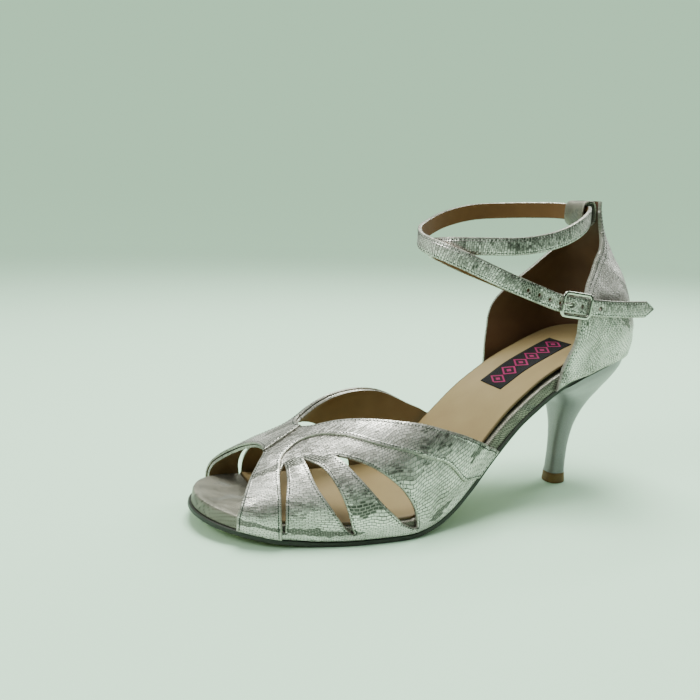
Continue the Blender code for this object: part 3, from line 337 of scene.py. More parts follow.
TOE_X = behind_toe(0.0)
HEEL_X = behind_toe(1.0)
HEEL_CENTRE_X = HEEL_X - HEEL_INSET
BREAST_X = HEEL_X - BREAST_AHEAD
PLATFORM_LOW = SOLE_THICKNESS + CLEARANCE
PLATFORM_TOP = PLATFORM_LOW + PLATFORM_THICKNESS
SOCK_LOW = PLATFORM_TOP + CLEARANCE
SOCK_TOP = SOCK_LOW + SOCK_THICKNESS


def half_width(x):
    """Half width of the platform: w(x) (1 - a^2.2)^0.5 (1 - b^2.2)^0.5 with a and b running
    from 0 to 1 over the rounded toe and the rounded heel."""
    toe = np.clip((TOE_X + TOE_ROUND - x) / TOE_ROUND, 0, 1)
    heel = np.clip((x - HEEL_X + HEEL_ROUND) / HEEL_ROUND, 0, 1)
    return free_width(x) * np.sqrt(1 - toe**ROUND_POWER) * np.sqrt(1 - heel**ROUND_POWER)


def slope_angle(x):
    """Slope of the underside at x, in radians."""
    small = 0.5 * MM
    return np.arctan2(floor_height(x + small) - floor_height(x - small), 2 * small)


def lift(points, level):
    """Place plan points (x, y) at a distance above the underside, measured square to it."""
    angle = slope_angle(points[:, 0])
    return np.stack([points[:, 0] - level * np.sin(angle), points[:, 1],
                     floor_height(points[:, 0]) + level * np.cos(angle)], 1)


def level_line(level):
    """Height and plan place, as functions of x, of the line at a level above the underside."""
    plan = np.linspace(TOE_X - 2 * MM, HEEL_X + 2 * MM, 600)
    line = lift(np.stack([plan, 0 * plan], 1), level)
    return (lambda x: np.interp(x, line[:, 0], line[:, 2]),
            lambda x: np.interp(x, line[:, 0], plan))


sole_top_height, sole_top_plan = level_line(PLATFORM_LOW)
platform_top_height, platform_top_plan = level_line(PLATFORM_TOP)


def side_run(side, start, end, margin):
    """One side of the plan outline from x = start to x = end, moved outwards by margin(x)."""
    turn = np.linspace(0, math.pi, 400)
    x = TOE_X + (HEEL_X - TOE_X) * (1 - np.cos(turn)) / 2
    y = centre_line(x) + side * half_width(x)
    dx, dy = np.gradient(x), np.gradient(y)
    size = np.hypot(dx, dy)
    out = margin(x)
    run = np.stack([x - side * out * dy / size, y + side * out * dx / size], 1)
    run[0] = (TOE_X - out[0], centre_line(TOE_X))
    run[-1] = (HEEL_X + out[-1], centre_line(HEEL_X))
    run = run[(run[:, 0] > start) & (run[:, 0] < end)] if start > TOE_X else run
    return run


def plan_outline(margin, start=None):
    """Closed plan outline at a margin outside the platform, cut off square ahead of start."""
    begin = TOE_X - 1 if start is None else start
    outer = side_run(-1, begin, 1.0, margin)
    inner = side_run(1, begin, 1.0, margin)[::-1]
    if start is None:
        return closed_loop([outer, inner])
    return closed_loop([outer, inner, np.stack([inner[-1], outer[0]])])


def inside(points, loop):
    """True for each point within a closed loop, by counting the edges crossed."""
    x, y = points[:, 0], points[:, 1]
    hit = np.zeros(len(points), bool)
    for (x0, y0), (x1, y1) in zip(loop, np.roll(loop, -1, axis=0)):
        if y0 == y1:
            continue
        crosses = (y0 > y) != (y1 > y)
        hit ^= crosses & (x < (x1 - x0) * (y - y0) / (y1 - y0) + x0)
    return hit


def triangulate(outline, holes, step):
    """Points and triangles that fill an outline with holes, on a grid of even spacing."""
    low, high = outline.min(axis=0), outline.max(axis=0)
    rows = np.arange(low[1] + step / 2, high[1], step * 0.87)
    grid = np.array([(x + (j % 2) * step / 2, y) for j, y in enumerate(rows)
                     for x in np.arange(low[0], high[0], step)]).reshape(-1, 2)
    loops = [outline] + list(holes)
    edge_points = np.concatenate(loops)
    keep = inside(grid, outline)
    for hole in holes:
        keep &= ~inside(grid, hole)
    grid = grid[keep]
    if len(grid):
        near = np.min(np.linalg.norm(grid[:, None] - edge_points[None], axis=2), axis=1)
        grid = grid[near > 0.62 * step]
    points = np.concatenate([edge_points, grid])
    edges = []
    first = 0
    for loop in loops:
        edges += [(first + k, first + (k + 1) % len(loop)) for k in range(len(loop))]
        first += len(loop)
    flat = [tuple(p * 1000) for p in points]
    verts, _, faces, _, _, _ = delaunay_2d_cdt(flat, edges, [], 0, 1e-5)
    verts = np.array([(v[0], v[1]) for v in verts]) / 1000
    faces = np.array([tuple(f) for f in faces])
    middle = verts[faces].mean(axis=1)
    keep = inside(middle, outline)
    for hole in holes:
        keep &= ~inside(middle, hole)
    faces = faces[keep]
    used = np.unique(faces)
    number = -np.ones(len(verts), int)
    number[used] = np.arange(len(used))
    return verts[used], number[faces]


def offset_surface(surface, across, along, level):
    """Points of surface(across, along) moved out along its normal by level."""
    da, dx = 0.002, SMALL
    point = surface(across, along)
    normal = np.cross(surface(across, along + dx) - surface(across, along - dx),
                      surface(across + da, along) - surface(across - da, along))
    normal /= np.linalg.norm(normal, axis=1)[:, None] + 1e-15
    return point + np.reshape(level, (-1, 1)) * normal


def last_surface(across, x):
    """Inner face of the vamp. From the ridge (across 0) to WALL_SHARE it is an arch,
    y = w (cos t - f cos 3t) / (1 - f) and z = h (sin t + f sin 3t) / (1 - f), leaning to
    the inner side, which grows from flat to full over LEAN_RUN. Below the arch it drops
    beside the platform to the sole."""
    share = np.abs(across)
    side = np.where(across < 0, -1.0, 1.0)
    t = np.clip(1 - share / WALL_SHARE, 0, 1) * math.pi / 2
    drop = np.clip((share - WALL_SHARE) / (1 - WALL_SHARE), 0, 1)
    top = platform_top_height(x)
    foot = sole_top_height(x) + CLEARANCE
    plan = platform_top_plan(x) + drop * (sole_top_plan(x) - platform_top_plan(x))
    width = half_width(plan) + VAMP_EASE
    grown = np.clip((x - LEAN_RUN[0]) / (LEAN_RUN[1] - LEAN_RUN[0]), 0, 1)
    full = VAMP_FULLNESS * np.where(across < 0, 1.0, grown)
    y = (centre_line(plan) + side * width * (np.cos(t) - full * np.cos(3 * t)) / (1 - full)
         + CROWN_LEAN * (0.7 + 0.3 * grown) * np.sin(t)**2)
    z = top + (crown_height(x) - top) * (np.sin(t) + full * np.sin(3 * t)) / (1 - full)
    return np.stack([x, y, z - drop * (top - foot)], 1)


def place_vamp(points, level):
    """Pattern point (across * GIRTH_SCALE, along) on the last, level out from its face."""
    return offset_surface(last_surface, points[:, 0] / GIRTH_SCALE, points[:, 1], level)


def vamp_run(rows, side=1):
    """Smooth run through pattern rows (across, share of LENGTH); side -1 mirrors it."""
    return spline([(side * g * GIRTH_SCALE, s * LENGTH) for g, s in rows])


def vamp_cutouts():
    """The slit and the two leaves on both sides of the vamp."""
    pairs = ((SLIT_FRONT, SLIT_BACK), (LEAF_FRONT, LEAF_BACK), (BROAD_LEAF_FRONT, BROAD_LEAF_BACK))
    return [closed_loop([vamp_run(front, side), vamp_run(back, side)])
            for side in (1, -1) for front, back in pairs]


def cut_run(run, at):
    """Part of a run up to the point nearest to at."""
    return run[:int(np.argmin(np.linalg.norm(run - at, axis=1))) + 1]


counter_back = curve([(h * COUNTER_TOP, HEEL_X + b * HEEL_ROUND) for h, b, g, d in COUNTER_SHAPE])
counter_gain = curve([(h * COUNTER_TOP, g * HEEL_ROUND) for h, b, g, d in COUNTER_SHAPE])
counter_depth = curve([(h * COUNTER_TOP, d * HEEL_ROUND) for h, b, g, d in COUNTER_SHAPE])


def counter_surface(around, z):
    """Inner face of the counter: at each height a U open to the front. around runs in metres
    from 0 at the back seam, below 0 on the outer side. The round back is a superellipse of
    power 2.2, and the sides run straight on from it."""
    side = np.where(around < 0, -1.0, 1.0)
    back = counter_back(z)
    deep = counter_depth(z)
    quarter = (deep + HEEL_ROUND + counter_gain(z)) * math.pi / 4
    t = np.clip(np.abs(around) / quarter, 0, 1) * math.pi / 2
    ahead = np.maximum(np.abs(around) - quarter, 0)
    x = back - deep + deep * np.cos(t)**(2 / ROUND_POWER) - ahead
    width = free_width(x) + CLEARANCE + counter_gain(z)
    y = centre_line(x) + side * width * np.sin(t)**(2 / ROUND_POWER)
    return np.stack([x, y, z], 1)


def place_counter(points, level):
    """Counter pattern point (around, z), level out from the inner face."""
    around, z = points[:, 0], points[:, 1]
    normal = np.cross(counter_surface(around + SMALL, z) - counter_surface(around - SMALL, z),
                      counter_surface(around, z + SMALL) - counter_surface(around, z - SMALL))
    normal /= np.linalg.norm(normal, axis=1)[:, None]
    return counter_surface(around, z) + np.reshape(level, (-1, 1)) * normal


def around_at(x, z, side):
    """Pattern place on the counter of the point at x on the given side."""
    trial = side * np.linspace(0, 0.6 * LENGTH, 1400)
    found = counter_surface(trial, np.full(len(trial), z))
    return trial[int(np.argmin(np.abs(found[:, 0] - x)))]


def counter_foot(side):
    """Lower edge of the counter on one side, from the back seam forward: at the underside
    behind the breast, rising above the outsole ahead of it."""
    rows = COUNTER_INNER_EDGE if side > 0 else COUNTER_OUTER_EDGE
    front = HEEL_X - rows[0][1] * HEEL_ROUND
    run = []
    for x in np.linspace(counter_back(SEAT_HEIGHT) - 0.2 * MM, front, 60):
        rise = np.clip((BREAST_X + 0.67 * HEEL_ROUND - x) / (0.44 * HEEL_ROUND), 0, 1)
        level = COUNTER_FOOT + (PLATFORM_LOW - COUNTER_FOOT) * rise
        plan = x + level * math.sin(float(slope_angle(x)))
        z = float(floor_height(plan)) + level * math.cos(float(slope_angle(plan)))
        run.append((around_at(x, z, side), z))
    run[0] = (0.0, run[0][1])
    return np.array(run)


def sole_margin(x):
    """Outsole margin: full round the forefoot, half at the waist, none inside the counter."""
    waist = np.clip((x - 0.24 * LENGTH) / (0.11 * LENGTH), 0, 1)
    seat = np.clip((x - BREAST_X) / (0.22 * HEEL_ROUND), 0, 1)
    return SOLE_MARGIN * (1 - 0.5 * waist) * (1 - seat)


def heel_ring(front, back, half, power, count):
    """Plan of a heel section as arrays x and y: a superellipse from front to back, round behind
    and squarer in front as the power grows."""
    turn = 2 * math.pi * (np.arange(count) + 0.5) / count
    c, s = np.cos(turn), np.sin(turn)
    n = np.where(c < 0, power, ROUND_POWER)
    middle, reach = (front + back) / 2, (back - front) / 2
    return middle + signed_power(c, 2 / n) * reach, signed_power(s, 2 / n) * half


def ankle_point(shares):
    """World place of a point given in shares of COUNTER_TOP from the end of the seat."""
    return np.array([HEEL_X, 0.0, 0.0]) + np.array(shares) * COUNTER_TOP


def buckle_axes():
    """Directions of the buckle: along the strap, up across it, and outwards."""
    ahead = BUCKLE_AHEAD / np.linalg.norm(BUCKLE_AHEAD)
    up = np.array([0.0, 0.0, 1.0])
    up = up - ahead * (up @ ahead)
    up /= np.linalg.norm(up)
    return ahead, up, np.cross(ahead, up)


def buckle_point(along, up, out):
    """World place of a point given along, up and out from the buckle's centre."""
    a, u, o = buckle_axes()
    return ankle_point(BUCKLE_CENTRE) + a * along + u * up + o * out


BAR_REACH = BUCKLE_LENGTH / 2 - BUCKLE_BAR / 2
UNDER_BAR = -BUCKLE_DEPTH / 2 - CLEARANCE - STRAP_THICKNESS / 2
CENTRE_BAR_OUT = UNDER_BAR - CENTRE_BAR_RADIUS
OVER_CENTRE = CENTRE_BAR_OUT + CENTRE_BAR_RADIUS + CLEARANCE + STRAP_THICKNESS / 2


def strap_line():
    """Middle line of the ankle strap as closely spaced points, with the length at each."""
    rows = [ankle_point(p) for p in STRAP_TO_BUCKLE]
    rows += [buckle_point(-BAR_REACH, 0, UNDER_BAR), buckle_point(0, 0, OVER_CENTRE),
             buckle_point(BAR_REACH, 0, UNDER_BAR)]
    rows += [ankle_point(p) for p in STRAP_TAIL]
    line = spline(rows, 1200)
    return line, run_lengths(line)


STRAP_LINE, STRAP_LENGTHS = strap_line()
CENTRE_BAR_AT = STRAP_LENGTHS[int(np.argmin(np.linalg.norm(
    STRAP_LINE - buckle_point(0, 0, OVER_CENTRE), axis=1)))]
PRONG_HOLE_AT = CENTRE_BAR_AT - PRONG_HOLE_AHEAD


def ribbon_place(line, lengths, lean=0.0):
    """Placing function of a ribbon (along, across) on a line, its width upright, or leaning
    to the inner side by lean for each unit of height."""
    tangent = np.gradient(line, lengths, axis=0)
    tangent /= np.linalg.norm(tangent, axis=1)[:, None]
    up = np.stack([0.0 * lengths, lean + 0.0 * lengths, 1.0 + 0.0 * lengths], 1)
    up -= tangent * np.sum(up * tangent, axis=1)[:, None]
    up /= np.linalg.norm(up, axis=1)[:, None]
    out = np.cross(tangent, up)

    def place(points, level):
        def at(values):
            return np.stack([np.interp(points[:, 0], lengths, values[:, k]) for k in range(3)], 1)
        return at(line) + at(up) * points[:, 1:2] + at(out) * np.reshape(level, (-1, 1))
    return place


def circle(x, y, radius, count=8):
    """Closed loop of a round hole."""
    turn = 2 * math.pi * np.arange(count) / count
    return np.stack([x + radius * np.cos(turn), y + radius * np.sin(turn)], 1)


# Mesh helpers

def make_object(name, points, faces, materials, stands_for, pattern=None, face_material=None,
                sharp=40.0):
    """Mesh object at the origin from point and face arrays, riding on the shoe's one body.
    pattern holds, for each point, its place on the leather in mm and its distance from the
    nearest cut edge in mm."""
    mesh = bpy.data.meshes.new(name)
    mesh.from_pydata([tuple(p) for p in np.asarray(points, float).tolist()], [],
                     [tuple(f) for f in faces])
    for material in materials:
        mesh.materials.append(material)
    if face_material is not None:
        mesh.polygons.foreach_set("material_index", np.asarray(face_material, np.int32))
    if pattern is not None:
        layer = mesh.attributes.new("pattern", "FLOAT_VECTOR", "POINT")
        layer.data.foreach_set("vector", np.asarray(pattern, np.float32).ravel())
    mesh.validate()
    mesh.shade_smooth()
    mesh.set_sharp_from_angle(angle=math.radians(sharp))
    mesh.update()
    obj = bpy.data.objects.new(name, mesh)
    bpy.context.scene.collection.objects.link(obj)
    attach(obj, "root")
    if stands_for:
        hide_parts(*stands_for)
    return obj


def edge_distance(points, loops):
    """Distance of each pattern point from the nearest edge of the loops, in pattern units."""
    best = np.full(len(points), 1.0)
    for loop in loops:
        for a, b in zip(loop, np.roll(loop, -1, axis=0)):
            along = b - a
            size = along @ along
            if size == 0:
                continue
            t = np.clip((points - a) @ along / size, 0, 1)
            best = np.minimum(best, np.linalg.norm(points - a - t[:, None] * along, axis=1))
    return best


def sheet_piece(name, outline, holes, place, rings, materials, stands_for,
                step=FACE_STEP, coordinates=None, swell=None):
    """Closed leather piece from a flat pattern: the pattern is filled with triangles and placed
    at the first and the last ring's level by place(points, level); the edge runs through the
    rings between, each (inset, level). swell(points, distance) adds to the last level.
    Material 0 is the outside and the cut edge, material 1 the underside."""
    verts, faces = triangulate(outline, holes, step)
    a, b, c = verts[faces[:, 0]], verts[faces[:, 1]], verts[faces[:, 2]]
    turn = (b[:, 0] - a[:, 0]) * (c[:, 1] - a[:, 1]) - (b[:, 1] - a[:, 1]) * (c[:, 0] - a[:, 0])
    faces = np.where((turn > 0)[:, None], faces, faces[:, ::-1])
    seen = {(f[k], f[(k + 1) % 3]) for f in faces.tolist() for k in range(3)}
    rim = sorted((i, j) for i, j in seen if (j, i) not in seen)
    before = {j: i for i, j in rim}
    tail = np.array([i for i, j in rim])
    head = np.array([j for i, j in rim])
    along = verts[head] - verts[np.array([before[i] for i in tail])]
    inward = np.zeros_like(verts)
    inward[tail] = np.stack([-along[:, 1], along[:, 0]], 1) / np.linalg.norm(along, axis=1)[:, None]
    far = edge_distance(verts, [outline] + list(holes))
    extra = swell(verts, far) if swell else np.zeros(len(verts))
    layers = []
    for k, (inset, level) in enumerate(rings):
        placed = place(verts + inset * inward, level + (extra if k == len(rings) - 1 else 0.0))
        layers.append(placed if k in (0, len(rings) - 1) else placed[tail])
    slot_of = -np.ones(len(verts), int)
    slot_of[tail] = np.arange(len(tail))
    starts = [0]
    for layer in layers[:-1]:
        starts.append(starts[-1] + len(layer))
    quads = []
    for k in range(len(layers) - 1):
        low_i = tail if k == 0 else slot_of[tail]
        low_j = head if k == 0 else slot_of[head]
        top = k == len(layers) - 2
        high_i = tail if top else slot_of[tail]
        high_j = head if top else slot_of[head]
        quads.append(np.stack([starts[k] + low_i, starts[k] + low_j,
                               starts[k + 1] + high_j, starts[k + 1] + high_i], 1))
    quads = np.concatenate(quads)
    all_faces = faces[:, ::-1].tolist() + (faces + starts[-1]).tolist() + quads.tolist()
    kinds = [1] * len(faces) + [0] * (len(faces) + len(quads))
    flat = coordinates(verts) if coordinates else verts
    base = np.column_stack([flat * 1000, far * 1000])
    rim_base = base[tail]
    pattern = [base] + [rim_base] * (len(layers) - 2) + [base]
    return make_object(name, np.concatenate(layers), all_faces, materials, stands_for,
                       np.concatenate(pattern), kinds)


def grid_piece(name, points, materials, stands_for, pattern=None, close_ends=True,
               sharp=40.0):
    """Tube from an array (rings, points round a ring, 3), closed round and, where asked, at
    its ends by a fan to the middle of the end ring."""
    rings, count = points.shape[:2]
    index = np.arange(rings * count).reshape(rings, count)
    nxt = np.roll(index, -1, axis=1)
    faces = np.stack([index[:-1], nxt[:-1], nxt[1:], index[1:]], -1).reshape(-1, 4).tolist()
    verts = points.reshape(-1, 3)
    if close_ends:
        hubs = np.stack([points[0].mean(axis=0), points[-1].mean(axis=0)])
        faces += np.stack([nxt[0], index[0], np.full(count, len(verts))], 1).tolist()
        faces += np.stack([index[-1], nxt[-1], np.full(count, len(verts) + 1)], 1).tolist()
        verts = np.concatenate([verts, hubs])
    if pattern is not None:
        pattern = pattern.reshape(-1, 3)
        pattern = np.concatenate([pattern, pattern[:2]]) if close_ends else pattern
    return make_object(name, verts, faces, materials, stands_for, pattern, None, sharp)


def sense(loop):
    """1 for a loop that runs anticlockwise on the pattern, -1 for a clockwise one."""
    x, y = loop.T
    return 1 if np.sum(x * np.roll(y, -1) - np.roll(x, -1) * y) > 0 else -1


def run_inset(run, inset):
    """Run moved to its left by inset, square to itself."""
    along = np.gradient(run, axis=0)
    along /= np.linalg.norm(along, axis=1)[:, None] + 1e-12
    return run + inset * np.stack([-along[:, 1], along[:, 0]], 1)


def stitch_row(runs, place, level):
    """Points and faces of thread stitches along pattern runs: each stitch is a bead of two
    poles and three rings of six, stretched along the run and half sunk in the leather."""
    turn = np.linspace(0, 2 * math.pi, 7)[:-1]
    rings = [np.stack([np.full(6, t), r * np.cos(turn), r * np.sin(turn)], 1)
             for t, r in ((-0.38, 0.75), (0.0, 1.0), (0.38, 0.75))]
    body = np.concatenate(rings + [[(-0.5, 0, 0)], [(0.5, 0, 0)]])
    pairs = [(k, (k + 1) % 6) for k in range(6)]
    faces = [(i + up, j + up, j + up + 6, i + up + 6) for up in (0, 6) for i, j in pairs]
    faces += [(j, i, 18, -1) for i, j in pairs] + [(i + 12, j + 12, 19, -1) for i, j in pairs]
    faces = np.array(faces)
    points, all_faces = [], []
    for run in runs:
        even = resample(run, STITCH_PITCH)
        if len(even) < 3:
            continue
        centre = place(even, level)
        out = place(even, level + 0.2 * MM) - centre
        out /= np.linalg.norm(out, axis=1)[:, None]
        along = np.gradient(centre, axis=0)
        along /= np.linalg.norm(along, axis=1)[:, None]
        across = np.cross(along, out)
        moved = (centre[:, None] + body[None, :, 0:1] * STITCH_LENGTH * along[:, None]
                 + body[None, :, 1:2] * STITCH_THICK * across[:, None]
                 + body[None, :, 2:3] * STITCH_THICK * 0.7 * out[:, None])
        start = sum(len(p) for p in points)
        points.append(moved.reshape(-1, 3))
        number = start + 20 * np.arange(len(even))
        block = np.where(faces[None] < 0, -1, faces[None] + number[:, None, None])
        all_faces += [tuple(v for v in f if v >= 0) for f in block.reshape(-1, 4).tolist()]
    return np.concatenate(points), all_faces


def stitches(name, runs, place, level, material):
    """One object of thread stitches along the runs."""
    points, faces = stitch_row(runs, place, level)
    return make_object(name, points, faces, [material], ())


# Materials

def colour(code):
    """Linear colour with alpha from an sRGB hex code."""
    value = np.array([int(code[k:k + 2], 16) for k in (1, 3, 5)]) / 255
    linear = np.where(value <= 0.04045, value / 12.92, ((value + 0.055) / 1.055)**2.4)
    return (*linear, 1.0)


def add(tree, kind, inputs=(), **settings):
    """Add a shader node, set its settings, and set or link its inputs."""
    node = tree.nodes.new("ShaderNode" + kind)
    for key, value in settings.items():
        setattr(node, key, value)
    for key, value in dict(inputs).items():
        if isinstance(value, bpy.types.Node):
            value = value.outputs[0]
        if isinstance(value, bpy.types.NodeSocket):
            tree.links.new(value, node.inputs[key])
        else:
            node.inputs[key].default_value = value
    return node


def blank(name):
    """New material with its tree and its Principled shader."""
    material = bpy.data.materials.new(name)
    material.use_nodes = True
    return material, material.node_tree, material.node_tree.nodes["Principled BSDF"]


def connect(tree, shader, **sockets):
    """Link or set sockets of the shader by name, with underscores for spaces."""
    for key, value in sockets.items():
        socket = shader.inputs[key.replace("_", " ")]
        if isinstance(value, bpy.types.Node):
            value = value.outputs[0]
        if isinstance(value, bpy.types.NodeSocket):
            tree.links.new(value, socket)
        else:
            socket.default_value = value


def silver_print(name, cell=(2.4, 1.25), dull=0.0, seam=False, reflection_patches=0.0):
    """Goat leather with a rolled-on silver foil, pressed with a fine reptile print: glossy
    brick-like cells, each tilted a little, in dull grooves; rubbed along cut edges. Cells are
    drawn a little coarser than the real print so that they show. Patches of near-black cells
    with pale grooves are a painted reflection of dark surroundings; the last argument widens them."""
    material, tree, shader = blank(name)
    place = add(tree, "Attribute", attribute_name="pattern")
    split = add(tree, "SeparateXYZ", {0: place.outputs["Vector"]})
    across, along, edge = split.outputs[0], split.outputs[1], split.outputs[2]
    flat = add(tree, "CombineXYZ", {0: along, 1: across, 2: 0.0})
    waver = add(tree, "TexNoise", {"Vector": flat, "Scale": 0.06, "Detail": 1.0})
    shift = add(tree, "VectorMath", {0: waver.outputs["Color"], 1: (0.5, 0.5, 0.5)},
                operation="SUBTRACT")
    shift = add(tree, "VectorMath", {0: shift, 1: (7.0, 9.0, 0.0)}, operation="MULTIPLY")
    bent = add(tree, "VectorMath", {0: flat, 1: shift}, operation="ADD")
    bent = add(tree, "SeparateXYZ", {0: bent})
    # rows of cells, every second row moved by half a cell
    row = add(tree, "Math", {0: bent.outputs[1], 1: cell[1]}, operation="DIVIDE")
    row_number = add(tree, "Math", {0: row}, operation="FLOOR")
    odd = add(tree, "Math", {0: row_number, 1: 0.5}, operation="MULTIPLY")
    column = add(tree, "Math", {0: bent.outputs[0], 1: 1 / cell[0], 2: odd},
                 operation="MULTIPLY_ADD")
    column_number = add(tree, "Math", {0: column}, operation="FLOOR")
    local_x = add(tree, "Math", {0: column, 1: column_number}, operation="SUBTRACT")
    local_y = add(tree, "Math", {0: row, 1: row_number}, operation="SUBTRACT")
    local_x = add(tree, "Math", {0: local_x, 1: 0.5}, operation="SUBTRACT")
    local_y = add(tree, "Math", {0: local_y, 1: 0.5}, operation="SUBTRACT")
    number = add(tree, "CombineXYZ", {0: column_number, 1: row_number, 2: 0.0})
    chance = add(tree, "TexWhiteNoise", {"Vector": number}, noise_dimensions="2D")
    lean = add(tree, "SeparateXYZ", {0: chance.outputs["Color"]})
    chance = chance.outputs["Value"]
    away_x = add(tree, "Math", {0: local_x}, operation="ABSOLUTE")
    away_x = add(tree, "Math", {0: away_x, 1: -cell[0], 2: 0.5 * cell[0]},
                 operation="MULTIPLY_ADD")
    away_y = add(tree, "Math", {0: local_y}, operation="ABSOLUTE")
    away_y = add(tree, "Math", {0: away_y, 1: -cell[1], 2: 0.5 * cell[1]},
                 operation="MULTIPLY_ADD")
    inner = add(tree, "Math", {0: away_x, 1: away_y}, operation="MINIMUM")
    groove = add(tree, "MapRange", {0: inner, 1: 0.05, 2: 0.2, 3: 1.0, 4: 0.0})
    # slow change of the foil: brighter and duller places some fifteen cells wide
    cloud = add(tree, "TexNoise", {"Vector": number, "Scale": 0.07, "Detail": 2.0,
                                   "Roughness": 0.5})
    grain = add(tree, "TexNoise", {"Vector": flat, "Scale": 1.3, "Detail": 3.0})
    level = add(tree, "Math", {0: chance, 1: 0.22}, operation="MULTIPLY")
    level = add(tree, "Math", {0: cloud.outputs[0], 1: 1.3, 2: level}, operation="MULTIPLY_ADD")
    level = add(tree, "Math", {0: level, 1: 0.30}, operation="SUBTRACT", use_clamp=True)
    low_tone, high_tone = ("#77746d", "#fbf3f0") if dull < 0.5 else ("#6a665d", "#a29c90")
    foil = add(tree, "ValToRGB", {0: level})
    for element, tone, position in zip(foil.color_ramp.elements, (low_tone, high_tone),
                                       (0.0, 0.7)):
        element.color = colour(tone)
        element.position = position
    # painted reflection: patches a few cells wide where the foil is coloured near-black and its
    # grooves pale, standing in for dark surroundings mirrored in the foil
    reflection_spots = add(tree, "TexNoise", {"Vector": number, "Scale": 0.10, "Detail": 0.0})
    reflection_spots = add(tree, "Math", {0: chance, 1: 0.07, 2: reflection_spots.outputs[0]},
                operation="MULTIPLY_ADD")
    dark_reflection_mask = add(tree, "MapRange", {0: reflection_spots, 1: 0.72 - reflection_patches, 2: 0.73 - reflection_patches, 3: 0.0,
                                  4: 0.9})
    foil = add(tree, "Mix", {0: dark_reflection_mask, 6: foil.outputs[0], 7: colour("#1d221b")}, data_type="RGBA")
    deep = add(tree, "Mix", {0: dark_reflection_mask, 6: colour("#3f3d38"), 7: colour("#b4b0a8")},
               data_type="RGBA")
    tone = add(tree, "Mix", {0: groove, 6: foil.outputs[2], 7: deep.outputs[2]},
               data_type="RGBA")
    near = add(tree, "MapRange", {0: edge, 1: 0.08, 2: 0.3, 3: 0.85, 4: 0.0})
    tone = add(tree, "Mix", {0: near, 6: tone.outputs[2], 7: colour("#98948c")},
               data_type="RGBA")
    if seam:
        middle = add(tree, "Math", {0: across}, operation="ABSOLUTE")
        line = add(tree, "MapRange", {0: middle, 1: 0.25, 2: 0.7, 3: 1.0, 4: 0.0})
        tone = add(tree, "Mix", {0: line, 6: tone.outputs[2], 7: colour("#59635b")},
                   data_type="RGBA")
    rough = add(tree, "Math", {0: chance, 1: 0.16, 2: 0.16 + 0.22 * dull},
                operation="MULTIPLY_ADD")
    rough = add(tree, "Math", {0: groove, 1: 0.3, 2: rough}, operation="MULTIPLY_ADD")
    rough = add(tree, "Math", {0: cloud.outputs[0], 1: 0.15, 2: rough}, operation="MULTIPLY_ADD")
    # relief: pillowed cells, each with its own tilt, and the sunk stitch line
    lean_x = add(tree, "Math", {0: lean.outputs[0], 1: 0.5}, operation="SUBTRACT")
    lean_y = add(tree, "Math", {0: lean.outputs[1], 1: 0.5}, operation="SUBTRACT")
    lean_x = add(tree, "Math", {0: lean_x, 1: local_x}, operation="MULTIPLY")
    lean_y = add(tree, "Math", {0: lean_y, 1: local_y}, operation="MULTIPLY")
    high = add(tree, "Math", {0: groove, 1: -0.5, 2: 1.0}, operation="MULTIPLY_ADD")
    high = add(tree, "Math", {0: lean_x, 1: 1.7, 2: high}, operation="MULTIPLY_ADD")
    high = add(tree, "Math", {0: lean_y, 1: 1.2, 2: high}, operation="MULTIPLY_ADD")
    high = add(tree, "Math", {0: grain.outputs[0], 1: 0.15, 2: high}, operation="MULTIPLY_ADD")
    sunk = add(tree, "Math", {0: edge, 1: STITCH_INSET / MM}, operation="SUBTRACT")
    sunk = add(tree, "Math", {0: sunk}, operation="ABSOLUTE")
    sunk = add(tree, "MapRange", {0: sunk, 1: 0.0, 2: 0.5, 3: 0.0, 4: 1.2})
    high = add(tree, "Math", {0: high, 1: sunk}, operation="ADD")
    relief = add(tree, "Bump", {"Strength": 0.8, "Distance": 0.11 * MM, "Height": high})
    metal = add(tree, "MapRange", {0: groove, 1: 0.0, 2: 1.0, 3: 0.95 - 0.2 * dull, 4: 0.5})
    connect(tree, shader, Base_Color=tone.outputs[2], Roughness=rough, Metallic=metal,
            Normal=relief, Coat_Weight=0.1, Coat_Roughness=0.2)
    return material


def plain_leather(name, tone, pale, rough=0.62, edge_tone=None):
    """Lining leather, vegetable-tanned pig or goat skin, rolled smooth: matte, fine pores, a
    little uneven in colour, darker where it is cut. Pore spacing and depth are in mm."""
    pore_spacing, pore_depth = 0.55, 0.05
    material, tree, shader = blank(name)
    place = add(tree, "TexCoord")
    pores = add(tree, "TexVoronoi", {"Vector": place.outputs["Object"], "Scale": 1000 / pore_spacing})
    cloud = add(tree, "TexNoise", {"Vector": place.outputs["Object"], "Scale": 45.0,
                                   "Detail": 4.0})
    mixed = add(tree, "MapRange", {0: cloud.outputs[0], 1: 0.3, 2: 0.7, 3: 0.0, 4: 1.0})
    base = add(tree, "Mix", {0: mixed, 6: colour(tone), 7: colour(pale)}, data_type="RGBA")
    if edge_tone:
        edge = add(tree, "SeparateXYZ",
                   {0: add(tree, "Attribute", attribute_name="pattern").outputs["Vector"]})
        near = add(tree, "MapRange", {0: edge.outputs[2], 1: 0.35, 2: 0.7, 3: 1.0, 4: 0.0})
        base = add(tree, "Mix", {0: near, 6: base.outputs[2], 7: colour(edge_tone)},
                   data_type="RGBA")
    relief = add(tree, "Bump", {"Strength": 0.5, "Distance": pore_depth * MM,
                                "Height": pores.outputs["Distance"]})
    connect(tree, shader, Base_Color=base.outputs[2], Roughness=rough, Normal=relief,
            Specular_IOR_Level=0.35)
    return material


